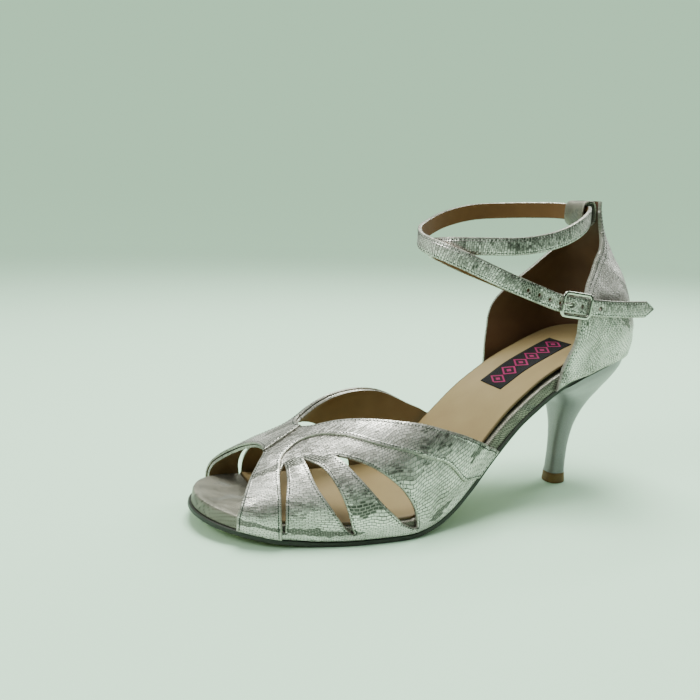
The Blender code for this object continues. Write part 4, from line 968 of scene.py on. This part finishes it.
def pearl_lacquer(name):
    """Heel block of moulded plastic under a sprayed pearl lacquer: a smooth satin grey with soft,
    broad highlights and a fleck too fine to count."""
    material, tree, shader = blank(name)
    place = add(tree, "TexCoord")
    fleck = add(tree, "TexNoise", {"Vector": place.outputs["Object"], "Scale": 2500.0,
                                   "Detail": 2.0})
    cloud = add(tree, "TexNoise", {"Vector": place.outputs["Object"], "Scale": 30.0,
                                   "Detail": 2.0})
    mixed = add(tree, "Math", {0: fleck.outputs[0], 1: cloud.outputs[0]}, operation="MULTIPLY")
    mixed = add(tree, "MapRange", {0: mixed, 1: 0.15, 2: 0.4, 3: 0.0, 4: 1.0})
    base = add(tree, "Mix", {0: mixed, 6: colour("#7a7579"), 7: colour("#8f8a8e")},
               data_type="RGBA")
    relief = add(tree, "Bump", {"Strength": 0.15, "Distance": 0.02 * MM,
                                "Height": fleck.outputs[0]})
    connect(tree, shader, Base_Color=base.outputs[2], Roughness=0.4, Metallic=0.35,
            Normal=relief, Coat_Weight=0.3, Coat_Roughness=0.2)
    return material


def speckled(name, tone, pale, scale, rough, relief_mm):
    """Even material with a fine grain: suede nap, moulded rubber, stitch thread darkened as painted
    shade of its needle holes, or painted edge.
    """
    material, tree, shader = blank(name)
    place = add(tree, "TexCoord")
    grain = add(tree, "TexNoise", {"Vector": place.outputs["Object"], "Scale": scale,
                                   "Detail": 4.0, "Roughness": 0.7})
    mixed = add(tree, "MapRange", {0: grain.outputs[0], 1: 0.35, 2: 0.65, 3: 0.0, 4: 1.0})
    base = add(tree, "Mix", {0: mixed, 6: colour(tone), 7: colour(pale)}, data_type="RGBA")
    relief = add(tree, "Bump", {"Strength": 0.6, "Distance": relief_mm * MM,
                                "Height": grain.outputs[0]})
    connect(tree, shader, Base_Color=base.outputs[2], Roughness=rough, Normal=relief)
    return material


def nickel(name):
    """Zinc die casting with polished nickel plating: bright, faint polishing scratches."""
    material, tree, shader = blank(name)
    place = add(tree, "TexCoord")
    stretch = add(tree, "Mapping", {"Vector": place.outputs["Object"], "Scale": (300, 300, 6000)})
    lines = add(tree, "TexNoise", {"Vector": stretch, "Scale": 1.0, "Detail": 2.0})
    rough = add(tree, "MapRange", {0: lines.outputs[0], 1: 0.3, 2: 0.7, 3: 0.12, 4: 0.24})
    connect(tree, shader, Base_Color=colour("#c4c4ba"), Roughness=rough, Metallic=1.0)
    return material


def woven_label(name):
    """Woven polyester label: black satin ground, dull, with one row of plain magenta lozenges,
    6.4 mm apart and 12 mm wide."""
    material, tree, shader = blank(name)
    place = add(tree, "Attribute", attribute_name="pattern")
    split = add(tree, "SeparateXYZ", {0: place.outputs["Vector"]})
    along, across, edge = split.outputs[0], split.outputs[1], split.outputs[2]
    step = add(tree, "Math", {0: along, 1: 1 / 6.4}, operation="MULTIPLY")
    step = add(tree, "Math", {0: step}, operation="FRACT")
    step = add(tree, "Math", {0: step, 1: 0.5}, operation="SUBTRACT")
    step = add(tree, "Math", {0: step}, operation="ABSOLUTE")
    side = add(tree, "Math", {0: across, 1: LABEL_ASIDE / MM}, operation="SUBTRACT")
    side = add(tree, "Math", {0: side}, operation="ABSOLUTE")
    away = add(tree, "Math", {0: side, 1: 1 / 14.5}, operation="MULTIPLY")
    away = add(tree, "Math", {0: away, 1: step}, operation="ADD")
    ring = add(tree, "Math", {0: away, 1: 0.42}, operation="SUBTRACT")
    ring = add(tree, "Math", {0: ring}, operation="ABSOLUTE")
    ring = add(tree, "MapRange", {0: ring, 1: 0.05, 2: 0.075, 3: 1.0, 4: 0.0})
    heart = add(tree, "MapRange", {0: away, 1: 0.14, 2: 0.17, 3: 1.0, 4: 0.0})
    mark = add(tree, "Math", {0: ring, 1: heart}, operation="MAXIMUM")
    keep = add(tree, "MapRange", {0: edge, 1: 1.8, 2: 2.0, 3: 0.0, 4: 1.0})
    mark = add(tree, "Math", {0: mark, 1: keep}, operation="MULTIPLY")
    thread = add(tree, "TexBrick", {"Vector": place.outputs["Vector"], "Scale": 1.0,
                                    "Color1": (1, 1, 1, 1), "Color2": (0.6, 0.6, 0.6, 1),
                                    "Mortar": (0, 0, 0, 1), "Mortar Size": 0.05,
                                    "Brick Width": 0.9, "Row Height": 0.3})
    base = add(tree, "Mix", {0: mark, 6: colour("#08060a"), 7: colour("#8a1a50")},
               data_type="RGBA")
    relief = add(tree, "Bump", {"Strength": 0.5, "Distance": 0.06 * MM,
                                "Height": thread.outputs["Color"]})
    connect(tree, shader, Base_Color=base.outputs[2], Roughness=0.7, Normal=relief,
            Specular_IOR_Level=0.2)
    return material


# Pieces

def rounded(low, high, radius):
    """Edge rings of a leather piece: square below, rounded above."""
    return [(0, low), (0, high - radius), (0.3 * radius, high - 0.3 * radius), (radius, high)]


def smooth_step(value, low, high):
    """0 below low, 1 above high, smooth between."""
    t = np.clip((value - low) / (high - low), 0, 1)
    return t * t * (3 - 2 * t)


def troughs(points, rows):
    """Sum of soft creases: for each row (start, end, half width, depth) a Gaussian of the
    distance from the segment, fading to nothing at its ends."""
    total = np.zeros(len(points))
    for start, end, wide, deep in rows:
        a, b = np.array(start) * MM, np.array(end) * MM
        along = b - a
        t = (points - a) @ along / (along @ along)
        gap = np.linalg.norm(points - a - np.clip(t, 0, 1)[:, None] * along, axis=1)
        fade = np.sin(np.pi * np.clip(t, 0, 1))
        total += deep * MM * np.exp(-(gap / (wide * MM))**2) * fade
    return total


def evened(run):
    """Run with its bends softened by a mean over 41 neighbouring points, both ends kept."""
    reach = 20
    weights = np.hanning(2 * reach + 1)
    weights /= weights.sum()
    long = np.concatenate([np.repeat(run[:1], reach, 0), run, np.repeat(run[-1:], reach, 0)])
    soft = np.stack([np.convolve(long[:, k], weights, "valid") for k in (0, 1)], 1)
    soft[0], soft[-1] = run[0], run[-1]
    return soft


def build_vamp(silver, lining, thread):
    """Vamp wall with its toe opening, throat and cut-outs, each stitched round."""
    toe, throat = vamp_run(TOE_EDGE), vamp_run(THROAT_EDGE)
    outline = closed_loop([toe, np.stack([toe[-1], throat[0]]), throat,
                           np.stack([throat[-1], toe[0]])])
    holes = vamp_cutouts()

    def puff(points, far):
        return (0.4 * MM * smooth_step(far, 0.8 * MM, 4 * MM)
                - smooth_step(far, 0.6 * MM, 3 * MM) * troughs(points, VAMP_CREASES))
    sheet_piece("vamp_leather", outline, holes, place_vamp, rounded(0, VAMP_WALL, 0.45 * MM),
                [silver, lining], ["vamp"], swell=puff)
    runs = []
    for hole in holes:
        closed = np.concatenate([hole, hole[:1]])
        run = run_inset(closed, -sense(hole) * STITCH_INSET)
        keep = ~inside(run, hole)
        runs.append(run[keep & (np.abs(run[:, 0]) < STITCH_REACH * GIRTH_SCALE)])
    stitches("vamp_stitches", runs, place_vamp, VAMP_WALL + THREAD_RISE, thread)


def build_bands(silver, lining, thread):
    """Stitched bands over the vamp's front and throat edges; the inner side's band laps over
    the outer side's on the ridge."""
    toe, throat = vamp_run(TOE_EDGE), vamp_run(THROAT_EDGE)
    split = np.array([(g * GIRTH_SCALE, s * LENGTH) for g, s in BAND_SPLIT])
    low = VAMP_WALL + BAND_EASE - 0.1 * MM
    high = VAMP_WALL + BAND_EASE + BAND_THICKNESS
    middle = split.mean(axis=0)
    along_split = (split[1] - split[0]) / np.linalg.norm(split[1] - split[0])
    square = np.array([along_split[1], -along_split[0]])
    for name, side, lap in (("lateral", 1, 0.0), ("medial", -1, LAP)):
        seam = vamp_run(BAND_SEAM, side)
        front = cut_run(toe, split[0]) if side == 1 else cut_run(toe[::-1], split[0])
        back = cut_run(throat[::-1], split[1]) if side == 1 else cut_run(throat, split[1])
        move = np.array([-lap, 0.0])
        front = np.concatenate([front[:-1], [split[0] + move]])
        back = np.concatenate([back[:-1], [split[1] + move]])
        outline = closed_loop([front, np.stack([front[-1], back[-1]]), back[::-1],
                               np.stack([back[0], seam[-1]]), seam[::-1],
                               np.stack([seam[0], front[0]])])

        def place(points, level, lap=lap):
            rise = 0.0
            if lap:
                rise = LAP_RISE * smooth_step(-(points - middle) @ square, -5 * MM, -1 * MM)
                rise = rise * (np.abs(points[:, 0]) < 0.6 * GIRTH_SCALE)
            return place_vamp(points, level + rise)

        def puff(points, far):
            return 0.25 * MM * smooth_step(far, 1.2 * MM, 4 * MM)
        sheet_piece(f"vamp_band_{name}_leather", outline, [], place,
                    rounded(low, high, 0.4 * MM), [silver, lining],
                    [f"vamp_band_{name}"], swell=puff)
        closed = np.concatenate([outline, outline[:1]])
        run = run_inset(closed, sense(outline) * STITCH_INSET)
        keep = inside(run, outline) & (np.abs(run[:, 0]) < STITCH_REACH * GIRTH_SCALE)
        stitches(f"vamp_band_{name}_stitches", [run[keep]], place, high + THREAD_RISE, thread)


def build_counter(silver, lining, thread):
    """Heel counter with its lining, stitched along both front edges."""
    sides = {}
    for side, rows in ((-1, COUNTER_OUTER_EDGE), (1, COUNTER_INNER_EDGE)):
        foot = counter_foot(side)
        edge = [foot[-1]]
        for h, s in rows[1:]:
            z = h * COUNTER_TOP
            edge.append((around_at(HEEL_X - s * HEEL_ROUND, z, side), z))
        sides[side] = (foot, evened(spline(edge)))
    outer_foot, outer_edge = sides[-1]
    inner_foot, inner_edge = sides[1]
    outline = closed_loop([inner_foot, inner_edge,
                           np.stack([inner_edge[-1], outer_edge[-1]]),
                           outer_edge[::-1], outer_foot[::-1]])

    def puff(points, far):
        seam = np.exp(-(points[:, 0] / (0.9 * MM))**2)
        return (0.15 * MM * smooth_step(far, 0.8 * MM, 3 * MM) - 0.35 * MM * seam
                - smooth_step(far, 0.6 * MM, 4 * MM) * troughs(points, COUNTER_CREASES))
    sheet_piece("heel_counter_leather", outline, [], place_counter,
                rounded(0, COUNTER_WALL, 0.6 * MM), [silver, lining],
                ["heel_counter"], swell=puff)
    runs = []
    for edge, sign in ((inner_edge, 1), (outer_edge, -1)):
        runs.append(run_inset(edge, sign * STITCH_INSET)[6:-6])
        runs.append(run_inset(edge, sign * (STITCH_INSET + STITCH_ROW_GAP))[6:-10])
    stitches("counter_stitches", runs, place_counter, COUNTER_WALL + 0.08 * MM, thread)


def build_bottom(wrap, sock, label, edge_paint, suede):
    """Platform wrapped in leather, insole sock cupped at the seat, label and outsole."""
    def leather_place(points):
        height = floor_height(points[:, 0])
        return np.stack([points[:, 1] + height, points[:, 0]], 1)
    edge = PLATFORM_EDGE
    top_rings = [(0, PLATFORM_LOW), (0, PLATFORM_LOW + 2 * MM), (0, PLATFORM_LOW + 4 * MM),
                 (0, PLATFORM_TOP - edge), (0.3 * edge, PLATFORM_TOP - 0.3 * edge),
                 (edge, PLATFORM_TOP)]
    platform = sheet_piece("platform_leather", plan_outline(lambda x: 0 * x), [], lift, top_rings,
                           [wrap, wrap], ["insole_platform"], step=3 * MM,
                           coordinates=leather_place)
    # the wrap's print follows the side as well: height above the sole counts as across
    mesh = platform.data
    points = np.zeros(len(mesh.vertices) * 3)
    mesh.vertices.foreach_get("co", points)
    points = points.reshape(-1, 3) * 1000
    layer = mesh.attributes["pattern"]
    old = np.zeros(len(mesh.vertices) * 3, np.float32)
    layer.data.foreach_get("vector", old)
    old = old.reshape(-1, 3)
    old[:, 0] = points[:, 1] + points[:, 2]
    old[:, 2] = np.maximum(old[:, 2], 5.0)
    layer.data.foreach_set("vector", old.ravel())

    def cupped(points, level):
        half = half_width(points[:, 0]) + 1e-4
        share = np.clip(np.abs(points[:, 1] - centre_line(points[:, 0])) / half, 0, 1)
        deep = smooth_step(points[:, 0], 45 * MM, 95 * MM)
        return lift(points, level + SOCK_CUP * deep * share**3)
    outline = plan_outline(lambda x: 0 * x - SOCK_INSET, SOCK_START)
    sheet_piece("sock_leather", outline, [], cupped, rounded(SOCK_LOW, SOCK_TOP, 0.35 * MM),
                [sock, sock], ["insole_sock"], step=3 * MM)
    x, y = HEEL_X - LABEL_AHEAD, LABEL_ASIDE
    half_long, half_wide = LABEL_LENGTH / 2, LABEL_WIDTH / 2
    corners = [(x - half_long, y - half_wide), (x + half_long, y - half_wide),
               (x + half_long, y + half_wide), (x - half_long, y + half_wide)]
    low = SOCK_TOP + 0.05 * MM
    sheet_piece("label_woven", polygon(corners), [], cupped,
                rounded(low, low + LABEL_THICKNESS, 0.15 * MM), [label, label],
                ["insole_label"], step=2 * MM)
    sheet_piece("outsole_suede", plan_outline(sole_margin), [], lift,
                [(0.4 * MM, 0), (0, 0.4 * MM), (0, SOLE_THICKNESS - 0.4 * MM),
                 (0.4 * MM, SOLE_THICKNESS)],
                [edge_paint, suede], ["outsole"], step=3 * MM)


def build_heel(cover, rubber):
    """Lacquered heel block as a surface of (turn, drop): superellipse rings whose front, back,
    half width, slope and corner power run smoothly through the sections of the table."""
    rows = []
    for drop, front, back, half, slope, power in HEEL_SECTIONS:
        front_x = HEEL_CENTRE_X + front * HEEL_ROUND
        back_x = HEEL_CENTRE_X + back * HEEL_ROUND
        base = float(floor_height((front_x + back_x) / 2)) - CLEARANCE - drop * SEAT_HEIGHT
        rows.append((front_x, back_x, half * HEEL_ROUND, base, slope, power))
    deep, wide = HEEL_STEM_DEPTH / 2, HEEL_STEM_WIDTH / 2
    rows.append((HEEL_CENTRE_X - deep, HEEL_CENTRE_X + deep, wide, HEEL_TIP_HEIGHT + CLEARANCE,
                 0.0, STEM_POWER))
    station = np.linspace(0, len(rows) - 1, 90)
    front, back, half, base, slope, power = (
        curve([(k, row[c]) for k, row in enumerate(rows)])(station)[:, None] for c in range(6))
    x, y = heel_ring(front, back, half, power, 72)
    z = base + slope * (floor_height(x) - floor_height((front + back) / 2))
    points = np.stack([x, y, z], -1)
    top = points[0].copy()
    hub = top.mean(axis=0)
    caps = []
    for share in (0.34, 0.7):
        ring = hub + share * (top - hub)
        ring[:, 2] = floor_height(ring[:, 0]) - CLEARANCE
        caps.append(ring)
    points = np.concatenate([np.stack(caps), points])[::-1]
    grid_piece("heel_cover", points, [cover], ["heel"], sharp=50)
    # the rubber tip: height of each ring and how far it stands out from the stem, in mm
    rows = ((HEEL_TIP_HEIGHT, -0.05), (HEEL_TIP_HEIGHT - 0.25 * MM, 0.12), (3.2 * MM, 0.2),
            (1.0 * MM, 0.4), (0.35 * MM, 0.38), (0.0, 0.1))
    rings = []
    for z, grow in rows:
        x, y = heel_ring(HEEL_CENTRE_X - deep - grow * MM, HEEL_CENTRE_X + deep + grow * MM,
                         wide + grow * MM, STEM_POWER, 56)
        rings.append(np.stack([x, y, np.full(len(x), z)], 1))
    grid_piece("heel_tip_rubber", np.array(rings)[::-1], [rubber], ["heel_tip"],
               sharp=50)


def build_strap(silver, lining, thread):
    """Ankle strap: doubled leather with turned edges, punched holes and a pointed end."""
    half, end = STRAP_WIDTH / 2, STRAP_LENGTHS[-1]
    corners = [(0, -half), (end - STRAP_POINT, -half), (end, 0), (end - STRAP_POINT, half),
               (0, half)]
    holes = [circle(PRONG_HOLE_AT + k * HOLE_PITCH, 0, HOLE_SHOWN, 14)
             for k in range(-HOLES_BEFORE_PRONG, HOLES_AFTER_PRONG + 1)]
    place = ribbon_place(STRAP_LINE, STRAP_LENGTHS)
    thick = STRAP_THICKNESS / 2

    def puff(points, far):
        return 0.12 * MM * smooth_step(far, 0.6 * MM, 2.2 * MM)
    sheet_piece("ankle_strap_leather", polygon(corners, 1.3 * MM), holes, place,
                [(0.3 * MM, -thick), (0, -thick + 0.3 * MM), (0, thick - 0.35 * MM),
                 (0.1 * MM, thick - 0.1 * MM), (0.35 * MM, thick)],
                [silver, lining], ["ankle_strap"], step=1.6 * MM, swell=puff)
    rows = []
    for sign in (-1, 1):
        y = sign * (half - STITCH_INSET)
        row = [(1 * MM, y), (end - STRAP_POINT, y), (end - 1.6 * MM, 0.15 * y)]
        rows.append(resample(row, 0.5 * MM))
    stitches("ankle_strap_stitches", rows, place, thick + 0.02 * MM, thread)


def build_loop(silver):
    """Soft leather loop at the top of the counter: a wide flattened tube, its mouth edges
    rolled, the inside open for the strap."""
    back = float(counter_back(COUNTER_TOP)) - CLEARANCE
    x, z = back - LOOP_DEPTH / 2 - LOOP_SET_IN, COUNTER_TOP - 0.5 * LOOP_HEIGHT
    turn = np.linspace(0, 2 * math.pi, 57)[:-1]
    half, wall = LOOP_WIDTH / 2, LOOP_WALL
    # columns: depth into the wall as a share of it, place across the loop
    profile = [(0.0, -half + 0.5 * wall), (0.0, -0.6 * half), (0.15, -0.2 * half),
               (0.2, 0.0), (0.15, 0.2 * half), (0.0, 0.6 * half), (0.0, half - 0.5 * wall),
               (0.15, half - 0.15 * wall), (0.5, half), (0.85, half - 0.15 * wall),
               (1.0, half - 0.5 * wall), (1.0, 0.0), (1.0, -half + 0.5 * wall),
               (0.85, -half + 0.15 * wall), (0.5, -half), (0.15, -half + 0.15 * wall)]
    rings = []
    for share, y in profile + profile[:1]:
        inset = share * wall
        c, s = np.cos(turn), np.sin(turn)
        crease = 0.25 * MM * np.cos(3 * turn + 0.7) * (1 - abs(y) / half)
        rings.append(np.stack([
            x + signed_power(c, 0.7) * (LOOP_DEPTH / 2 - inset) + 0.4 * crease * np.sign(c),
            np.full(len(turn), y), z + signed_power(s, 0.7) * (LOOP_HEIGHT / 2 - inset)], 1))
    points = np.array(rings)
    arc = turn / (2 * math.pi) * 2 * (LOOP_DEPTH + LOOP_HEIGHT) * 1000
    pattern = np.stack([points[..., 1] * 1000, np.broadcast_to(arc, points.shape[:2]),
                        np.full(points.shape[:2], 1.9)], -1)
    grid_piece("strap_loop_leather", points, [silver], ["strap_loop"],
               pattern=pattern, close_ends=False, sharp=60)


def sweep(route, across, out, half_wide, half_deep, power=2.6, closed=False):
    """Bar with a superellipse section of 16 points carried along a route; across and out are
    the section's directions at each point of the route."""
    turn = np.linspace(0, 2 * math.pi, 17)[:-1]
    c, s = np.cos(turn), np.sin(turn)
    u, v = signed_power(c, 2 / power), signed_power(s, 2 / power)
    half_wide = np.broadcast_to(half_wide, len(route))[:, None, None]
    half_deep = np.broadcast_to(half_deep, len(route))[:, None, None]
    rings = (route[:, None] + half_wide * u[None, :, None] * across[:, None]
             + half_deep * v[None, :, None] * out[:, None])
    return np.concatenate([rings, rings[:1]]) if closed else rings


def build_buckle(metal):
    """Cast frame with rounded corners and a centre bar, and the bent prong on it."""
    ahead, up, outward = buckle_axes()
    long, high, bar = BUCKLE_LENGTH / 2, BUCKLE_HEIGHT / 2, BUCKLE_BAR / 2
    corner = 2.0 * MM
    path = []
    for along, across, start in ((1, 1, 0), (-1, 1, 90), (-1, -1, 180), (1, -1, 270)):
        turn = np.radians(np.linspace(start, start + 90, 9))
        path.append(np.stack([along * (long - bar - corner) + corner * np.cos(turn),
                              across * (high - bar - corner) + corner * np.sin(turn)], 1))
    path = np.concatenate(path)
    path = resample(np.concatenate([path, path[:1]]), 0.45 * MM)[:-1]
    along = np.roll(path, -1, axis=0) - np.roll(path, 1, axis=0)
    along /= np.linalg.norm(along, axis=1)[:, None]
    # the side rails are bowed inwards so that the centre bar sits lower than the end bars
    bow = -0.45 * MM * smooth_step(long - np.abs(path[:, 0]), 0.0, 3 * MM)
    route = np.array([buckle_point(a, u, o) for (a, u), o in zip(path, bow)])
    side = along[:, 1:2] * ahead - along[:, 0:1] * up
    rings = sweep(route, side, np.broadcast_to(outward, route.shape), bar, BUCKLE_DEPTH / 2,
                  closed=True)
    grid_piece("buckle_frame_cast", rings, [metal], ["buckle_frame"],
               close_ends=False, sharp=60)
    reach = high - bar
    route = np.array([buckle_point(0, u, CENTRE_BAR_OUT) for u in np.linspace(-reach, reach, 9)])
    grid_piece("buckle_bar_cast", sweep(route, np.broadcast_to(ahead, route.shape),
                                        np.broadcast_to(outward, route.shape),
                                        CENTRE_BAR_RADIUS, 0.9 * CENTRE_BAR_RADIUS, power=2.0),
               [metal], [], sharp=60)
    tip = BUCKLE_DEPTH / 2 + CLEARANCE + PRONG_RADIUS
    start = CENTRE_BAR_OUT
    rows = [(-CENTRE_BAR_RADIUS - CLEARANCE - PRONG_RADIUS, start)]
    rows += [(-a * BAR_REACH, start + o * (tip - start)) for a, o in PRONG_ROUTE]
    line = spline([buckle_point(a, 0, o) for a, o in rows], 40)
    tangent = np.gradient(line, axis=0)
    tangent /= np.linalg.norm(tangent, axis=1)[:, None]
    taper = PRONG_RADIUS * np.interp(np.arange(40), [0, 30, 38, 39], [1.0, 0.95, 0.7, 0.35])
    grid_piece("buckle_prong_cast", sweep(line, np.broadcast_to(up, line.shape),
                                          np.cross(tangent, up), taper, 0.85 * taper, power=2.0),
               [metal], ["buckle_prong"], sharp=60)


def build_tab(silver, lining):
    """Short anchor strap that holds the buckle's centre bar to the inside of the counter."""
    bar = buckle_point(CENTRE_BAR_RADIUS + CLEARANCE + 0.4 * TAB_THICKNESS, 0,
                       CENTRE_BAR_OUT - CENTRE_BAR_RADIUS / 3)
    height = ankle_point(BUCKLE_CENTRE)[2:]
    inner = float(counter_surface(np.array([-2 * HEEL_ROUND]), height)[0, 1])
    seat = inner + CLEARANCE + TAB_THICKNESS / 2 + TAB_EASE
    rows = [bar, bar + np.array([0.24, 0.19, 0.0]) * STRAP_WIDTH]
    rows += [np.array([bar[0] + x * STRAP_WIDTH, seat + y * STRAP_WIDTH, bar[2] + z * STRAP_WIDTH])
             for x, y, z in ((0.58, -0.19, 0.0), (1.42, 0.01, 0.0), (2.37, 0.04, 0.06))]
    line = spline(rows, 200)
    length = run_lengths(line)
    half, end = 0.92 * STRAP_WIDTH / 2, length[-1]
    corners = [(0, -half), (end, -half), (end, half), (0, half)]
    lean = np.interp(length / end, [0.15, 0.5], [0.0, 0.5])
    thick = TAB_THICKNESS / 2
    sheet_piece("buckle_tab_leather", polygon(corners, 1.0 * MM), [],
                ribbon_place(line, length, lean),
                [(0, -thick), (0, thick - 0.2 * MM), (0.2 * MM, thick)],
                [silver, lining], ["buckle_tab"], step=1.6 * MM)


# Studio

def build_studio():
    """Pale floor, soft lights and the camera at the photograph's angle."""
    sides = 96
    ring = np.linspace(0, 2 * math.pi, sides + 1)[:-1]
    reach = np.array([0.4, 1.0, 2.0, 4.0])[:, None]
    points = np.stack([reach * np.cos(ring), reach * np.sin(ring),
                       np.zeros((len(reach), sides))], -1).reshape(-1, 3)
    index = np.arange(len(points)).reshape(-1, sides)
    nxt = np.roll(index, -1, axis=1)
    faces = np.stack([index[:-1], index[1:], nxt[1:], nxt[:-1]], -1).reshape(-1, 4).tolist()
    mesh = bpy.data.meshes.new("floor")
    mesh.from_pydata(points.tolist(), [], faces + [tuple(range(sides))])
    # seamless paper that melts into the backdrop with distance from the shoe
    material, tree, shader = blank("floor_paper")
    place = add(tree, "TexCoord")
    far = add(tree, "VectorMath", {0: place.outputs["Object"]}, operation="LENGTH")
    whole = add(tree, "MapRange", {0: far.outputs["Value"], 1: 0.45, 2: 1.9, 3: 1.0, 4: 0.0},
                interpolation_type="SMOOTHSTEP")
    connect(tree, shader, Base_Color=colour("#c0dfc7"), Roughness=0.9, Alpha=whole)
    mesh.materials.append(material)
    floor = bpy.data.objects.new("floor", mesh)
    bpy.context.scene.collection.objects.link(floor)

    world = bpy.data.worlds.new("studio_air")
    world.use_nodes = True
    bpy.context.scene.world = world
    tree = world.node_tree
    ground = tree.nodes["Background"]
    seen = add(tree, "TexCoord")
    split = add(tree, "SeparateXYZ", {0: seen.outputs["Generated"]})
    # backdrop for the eye: pale as the floor low down, greyer green above
    rise = add(tree, "MapRange", {0: split.outputs[2], 1: -0.34, 2: 0.02, 3: 0.0, 4: 1.0},
               interpolation_type="SMOOTHSTEP")
    wall = add(tree, "Mix", {0: rise, 6: colour("#d0ffdb"), 7: colour("#b6e3bd")},
               data_type="RGBA")
    wall = add(tree, "VectorMath", {0: wall.outputs[2], 3: 1.15}, operation="SCALE")
    # light of the room: bright overhead, a dim opening low down in front
    front = add(tree, "Math", {0: split.outputs[1], 1: -1.0}, operation="MULTIPLY")
    low = add(tree, "Math", {0: split.outputs[2], 1: 0.15}, operation="SUBTRACT")
    low = add(tree, "Math", {0: low}, operation="ABSOLUTE")
    low = add(tree, "MapRange", {0: low, 1: 0.22, 2: 0.5, 3: 1.0, 4: 0.0})
    front = add(tree, "MapRange", {0: front, 1: -0.1, 2: 0.4, 3: 0.0, 4: 1.0})
    dim = add(tree, "Math", {0: low, 1: front}, operation="MULTIPLY")
    room = add(tree, "Mix", {0: dim, 6: colour("#d0dccf"), 7: colour("#141511")},
               data_type="RGBA")
    ray = add(tree, "LightPath")
    both = add(tree, "Mix", {0: ray.outputs["Is Camera Ray"], 6: room.outputs[2],
                             7: wall.outputs[0]}, data_type="RGBA")
    tree.links.new(both.outputs[2], ground.inputs["Color"])
    ground.inputs["Strength"].default_value = 1.0

    # soft boxes: place and aim in metres, width, power in watts, tone
    for name, place, aim, wide, power, tone in (
            ("sky_panel", (0.15, 0.25, 1.3), (0.03, 0, 0.05), 0.8, 38.0, "#f6fff6"),
            ("side_panel", (1.1, 0.35, 0.7), (0.05, 0, 0.06), 0.5, 8.0, "#f2fff6"),
            ("left_panel", (-0.9, -0.2, 0.8), (0.0, 0, 0.04), 0.4, 6.0, "#f6fff6")):
        data = bpy.data.lights.new(name, "AREA")
        data.shape = "SQUARE"
        data.size = wide
        data.energy = power
        data.color = colour(tone)[:3]
        lamp = bpy.data.objects.new(name, data)
        lamp.matrix_world = look(np.array(place), np.array(aim))
        bpy.context.scene.collection.objects.link(lamp)

    turn, rise, roll = np.radians(CAMERA_TURN), np.radians(CAMERA_RISE), np.radians(CAMERA_ROLL)
    back = np.array([np.sin(turn) * np.cos(rise), -np.cos(turn) * np.cos(rise), np.sin(rise)])
    right = np.array([np.cos(turn), np.sin(turn), 0.0])
    up = np.cross(back, right)
    axes = np.stack([np.cos(roll) * right + np.sin(roll) * up,
                     -np.sin(roll) * right + np.cos(roll) * up, back], 1)
    place = np.array(CAMERA_AIM) + back * CAMERA_DISTANCE
    data = bpy.data.cameras.new("camera")
    data.sensor_width = 36.0
    data.lens = 36.0 * CAMERA_FOCAL / 700
    data.clip_start = 0.01
    camera = bpy.data.objects.new("camera", data)
    camera.matrix_world = pose(axes, place)
    bpy.context.scene.collection.objects.link(camera)
    bpy.context.scene.camera = camera


def pose(axes, place):
    """World matrix from axes as columns and a place."""
    matrix = np.eye(4)
    matrix[:3, :3] = axes
    matrix[:3, 3] = place
    return Matrix(matrix.tolist())


def look(place, aim):
    """Matrix of a lamp at place that shines towards aim."""
    back = (place - aim) / np.linalg.norm(place - aim)
    right = np.cross([0.0, 1.0, 0.05], back)
    right /= np.linalg.norm(right)
    return pose(np.stack([right, np.cross(back, right), back], 1), place)


def main():
    """Studio, materials and the shoe's pieces from the vamp to the tab."""
    build_studio()
    silver = silver_print("silver_print_vamp")
    # bands and strap get somewhat wider patches of painted reflection
    silver_band = silver_print("silver_print_band", reflection_patches=0.03)
    silver_counter = silver_print("silver_print_counter", cell=(1.7, 1.0), seam=True)
    silver_strap = silver_print("silver_print_strap", cell=(1.9, 1.1), reflection_patches=0.04)
    silver_dull = silver_print("silver_print_platform", cell=(1.7, 0.9), dull=0.8)
    lining = plain_leather("vamp_lining", "#7d6849", "#8d7855")
    counter_lining = plain_leather("counter_lining", "#4e321f", "#5e4029")
    strap_lining = plain_leather("strap_lining", "#6b4728", "#7c5633")
    sock = plain_leather("sock_tan", "#836d4b", "#8f7a55", rough=0.5, edge_tone="#5d4a2e")
    # stitch beads are near-black as painted shade of the needle holes; the thread itself is silver
    thread = speckled("stitch_thread_hole_shade", "#20251f", "#353b34", 3000.0, 0.7, 0.02)
    edge_paint = speckled("sole_edge_paint", "#15160f", "#22231b", 1500.0, 0.5, 0.03)
    suede = speckled("sole_suede_nap", "#9c8a70", "#b3a186", 1800.0, 0.95, 0.08)
    rubber = speckled("tip_rubber", "#6f4f28", "#7d5a30", 1500.0, 0.55, 0.03)
    build_vamp(silver, lining, thread)
    build_bands(silver_band, lining, thread)
    build_counter(silver_counter, counter_lining, thread)
    build_bottom(silver_dull, sock, woven_label("label_weave"), edge_paint, suede)
    build_heel(pearl_lacquer("heel_pearl_lacquer"), rubber)
    build_strap(silver_strap, strap_lining, thread)
    build_loop(silver_dull)
    build_buckle(nickel("buckle_nickel_plate"))
    build_tab(silver_strap, strap_lining)


main()
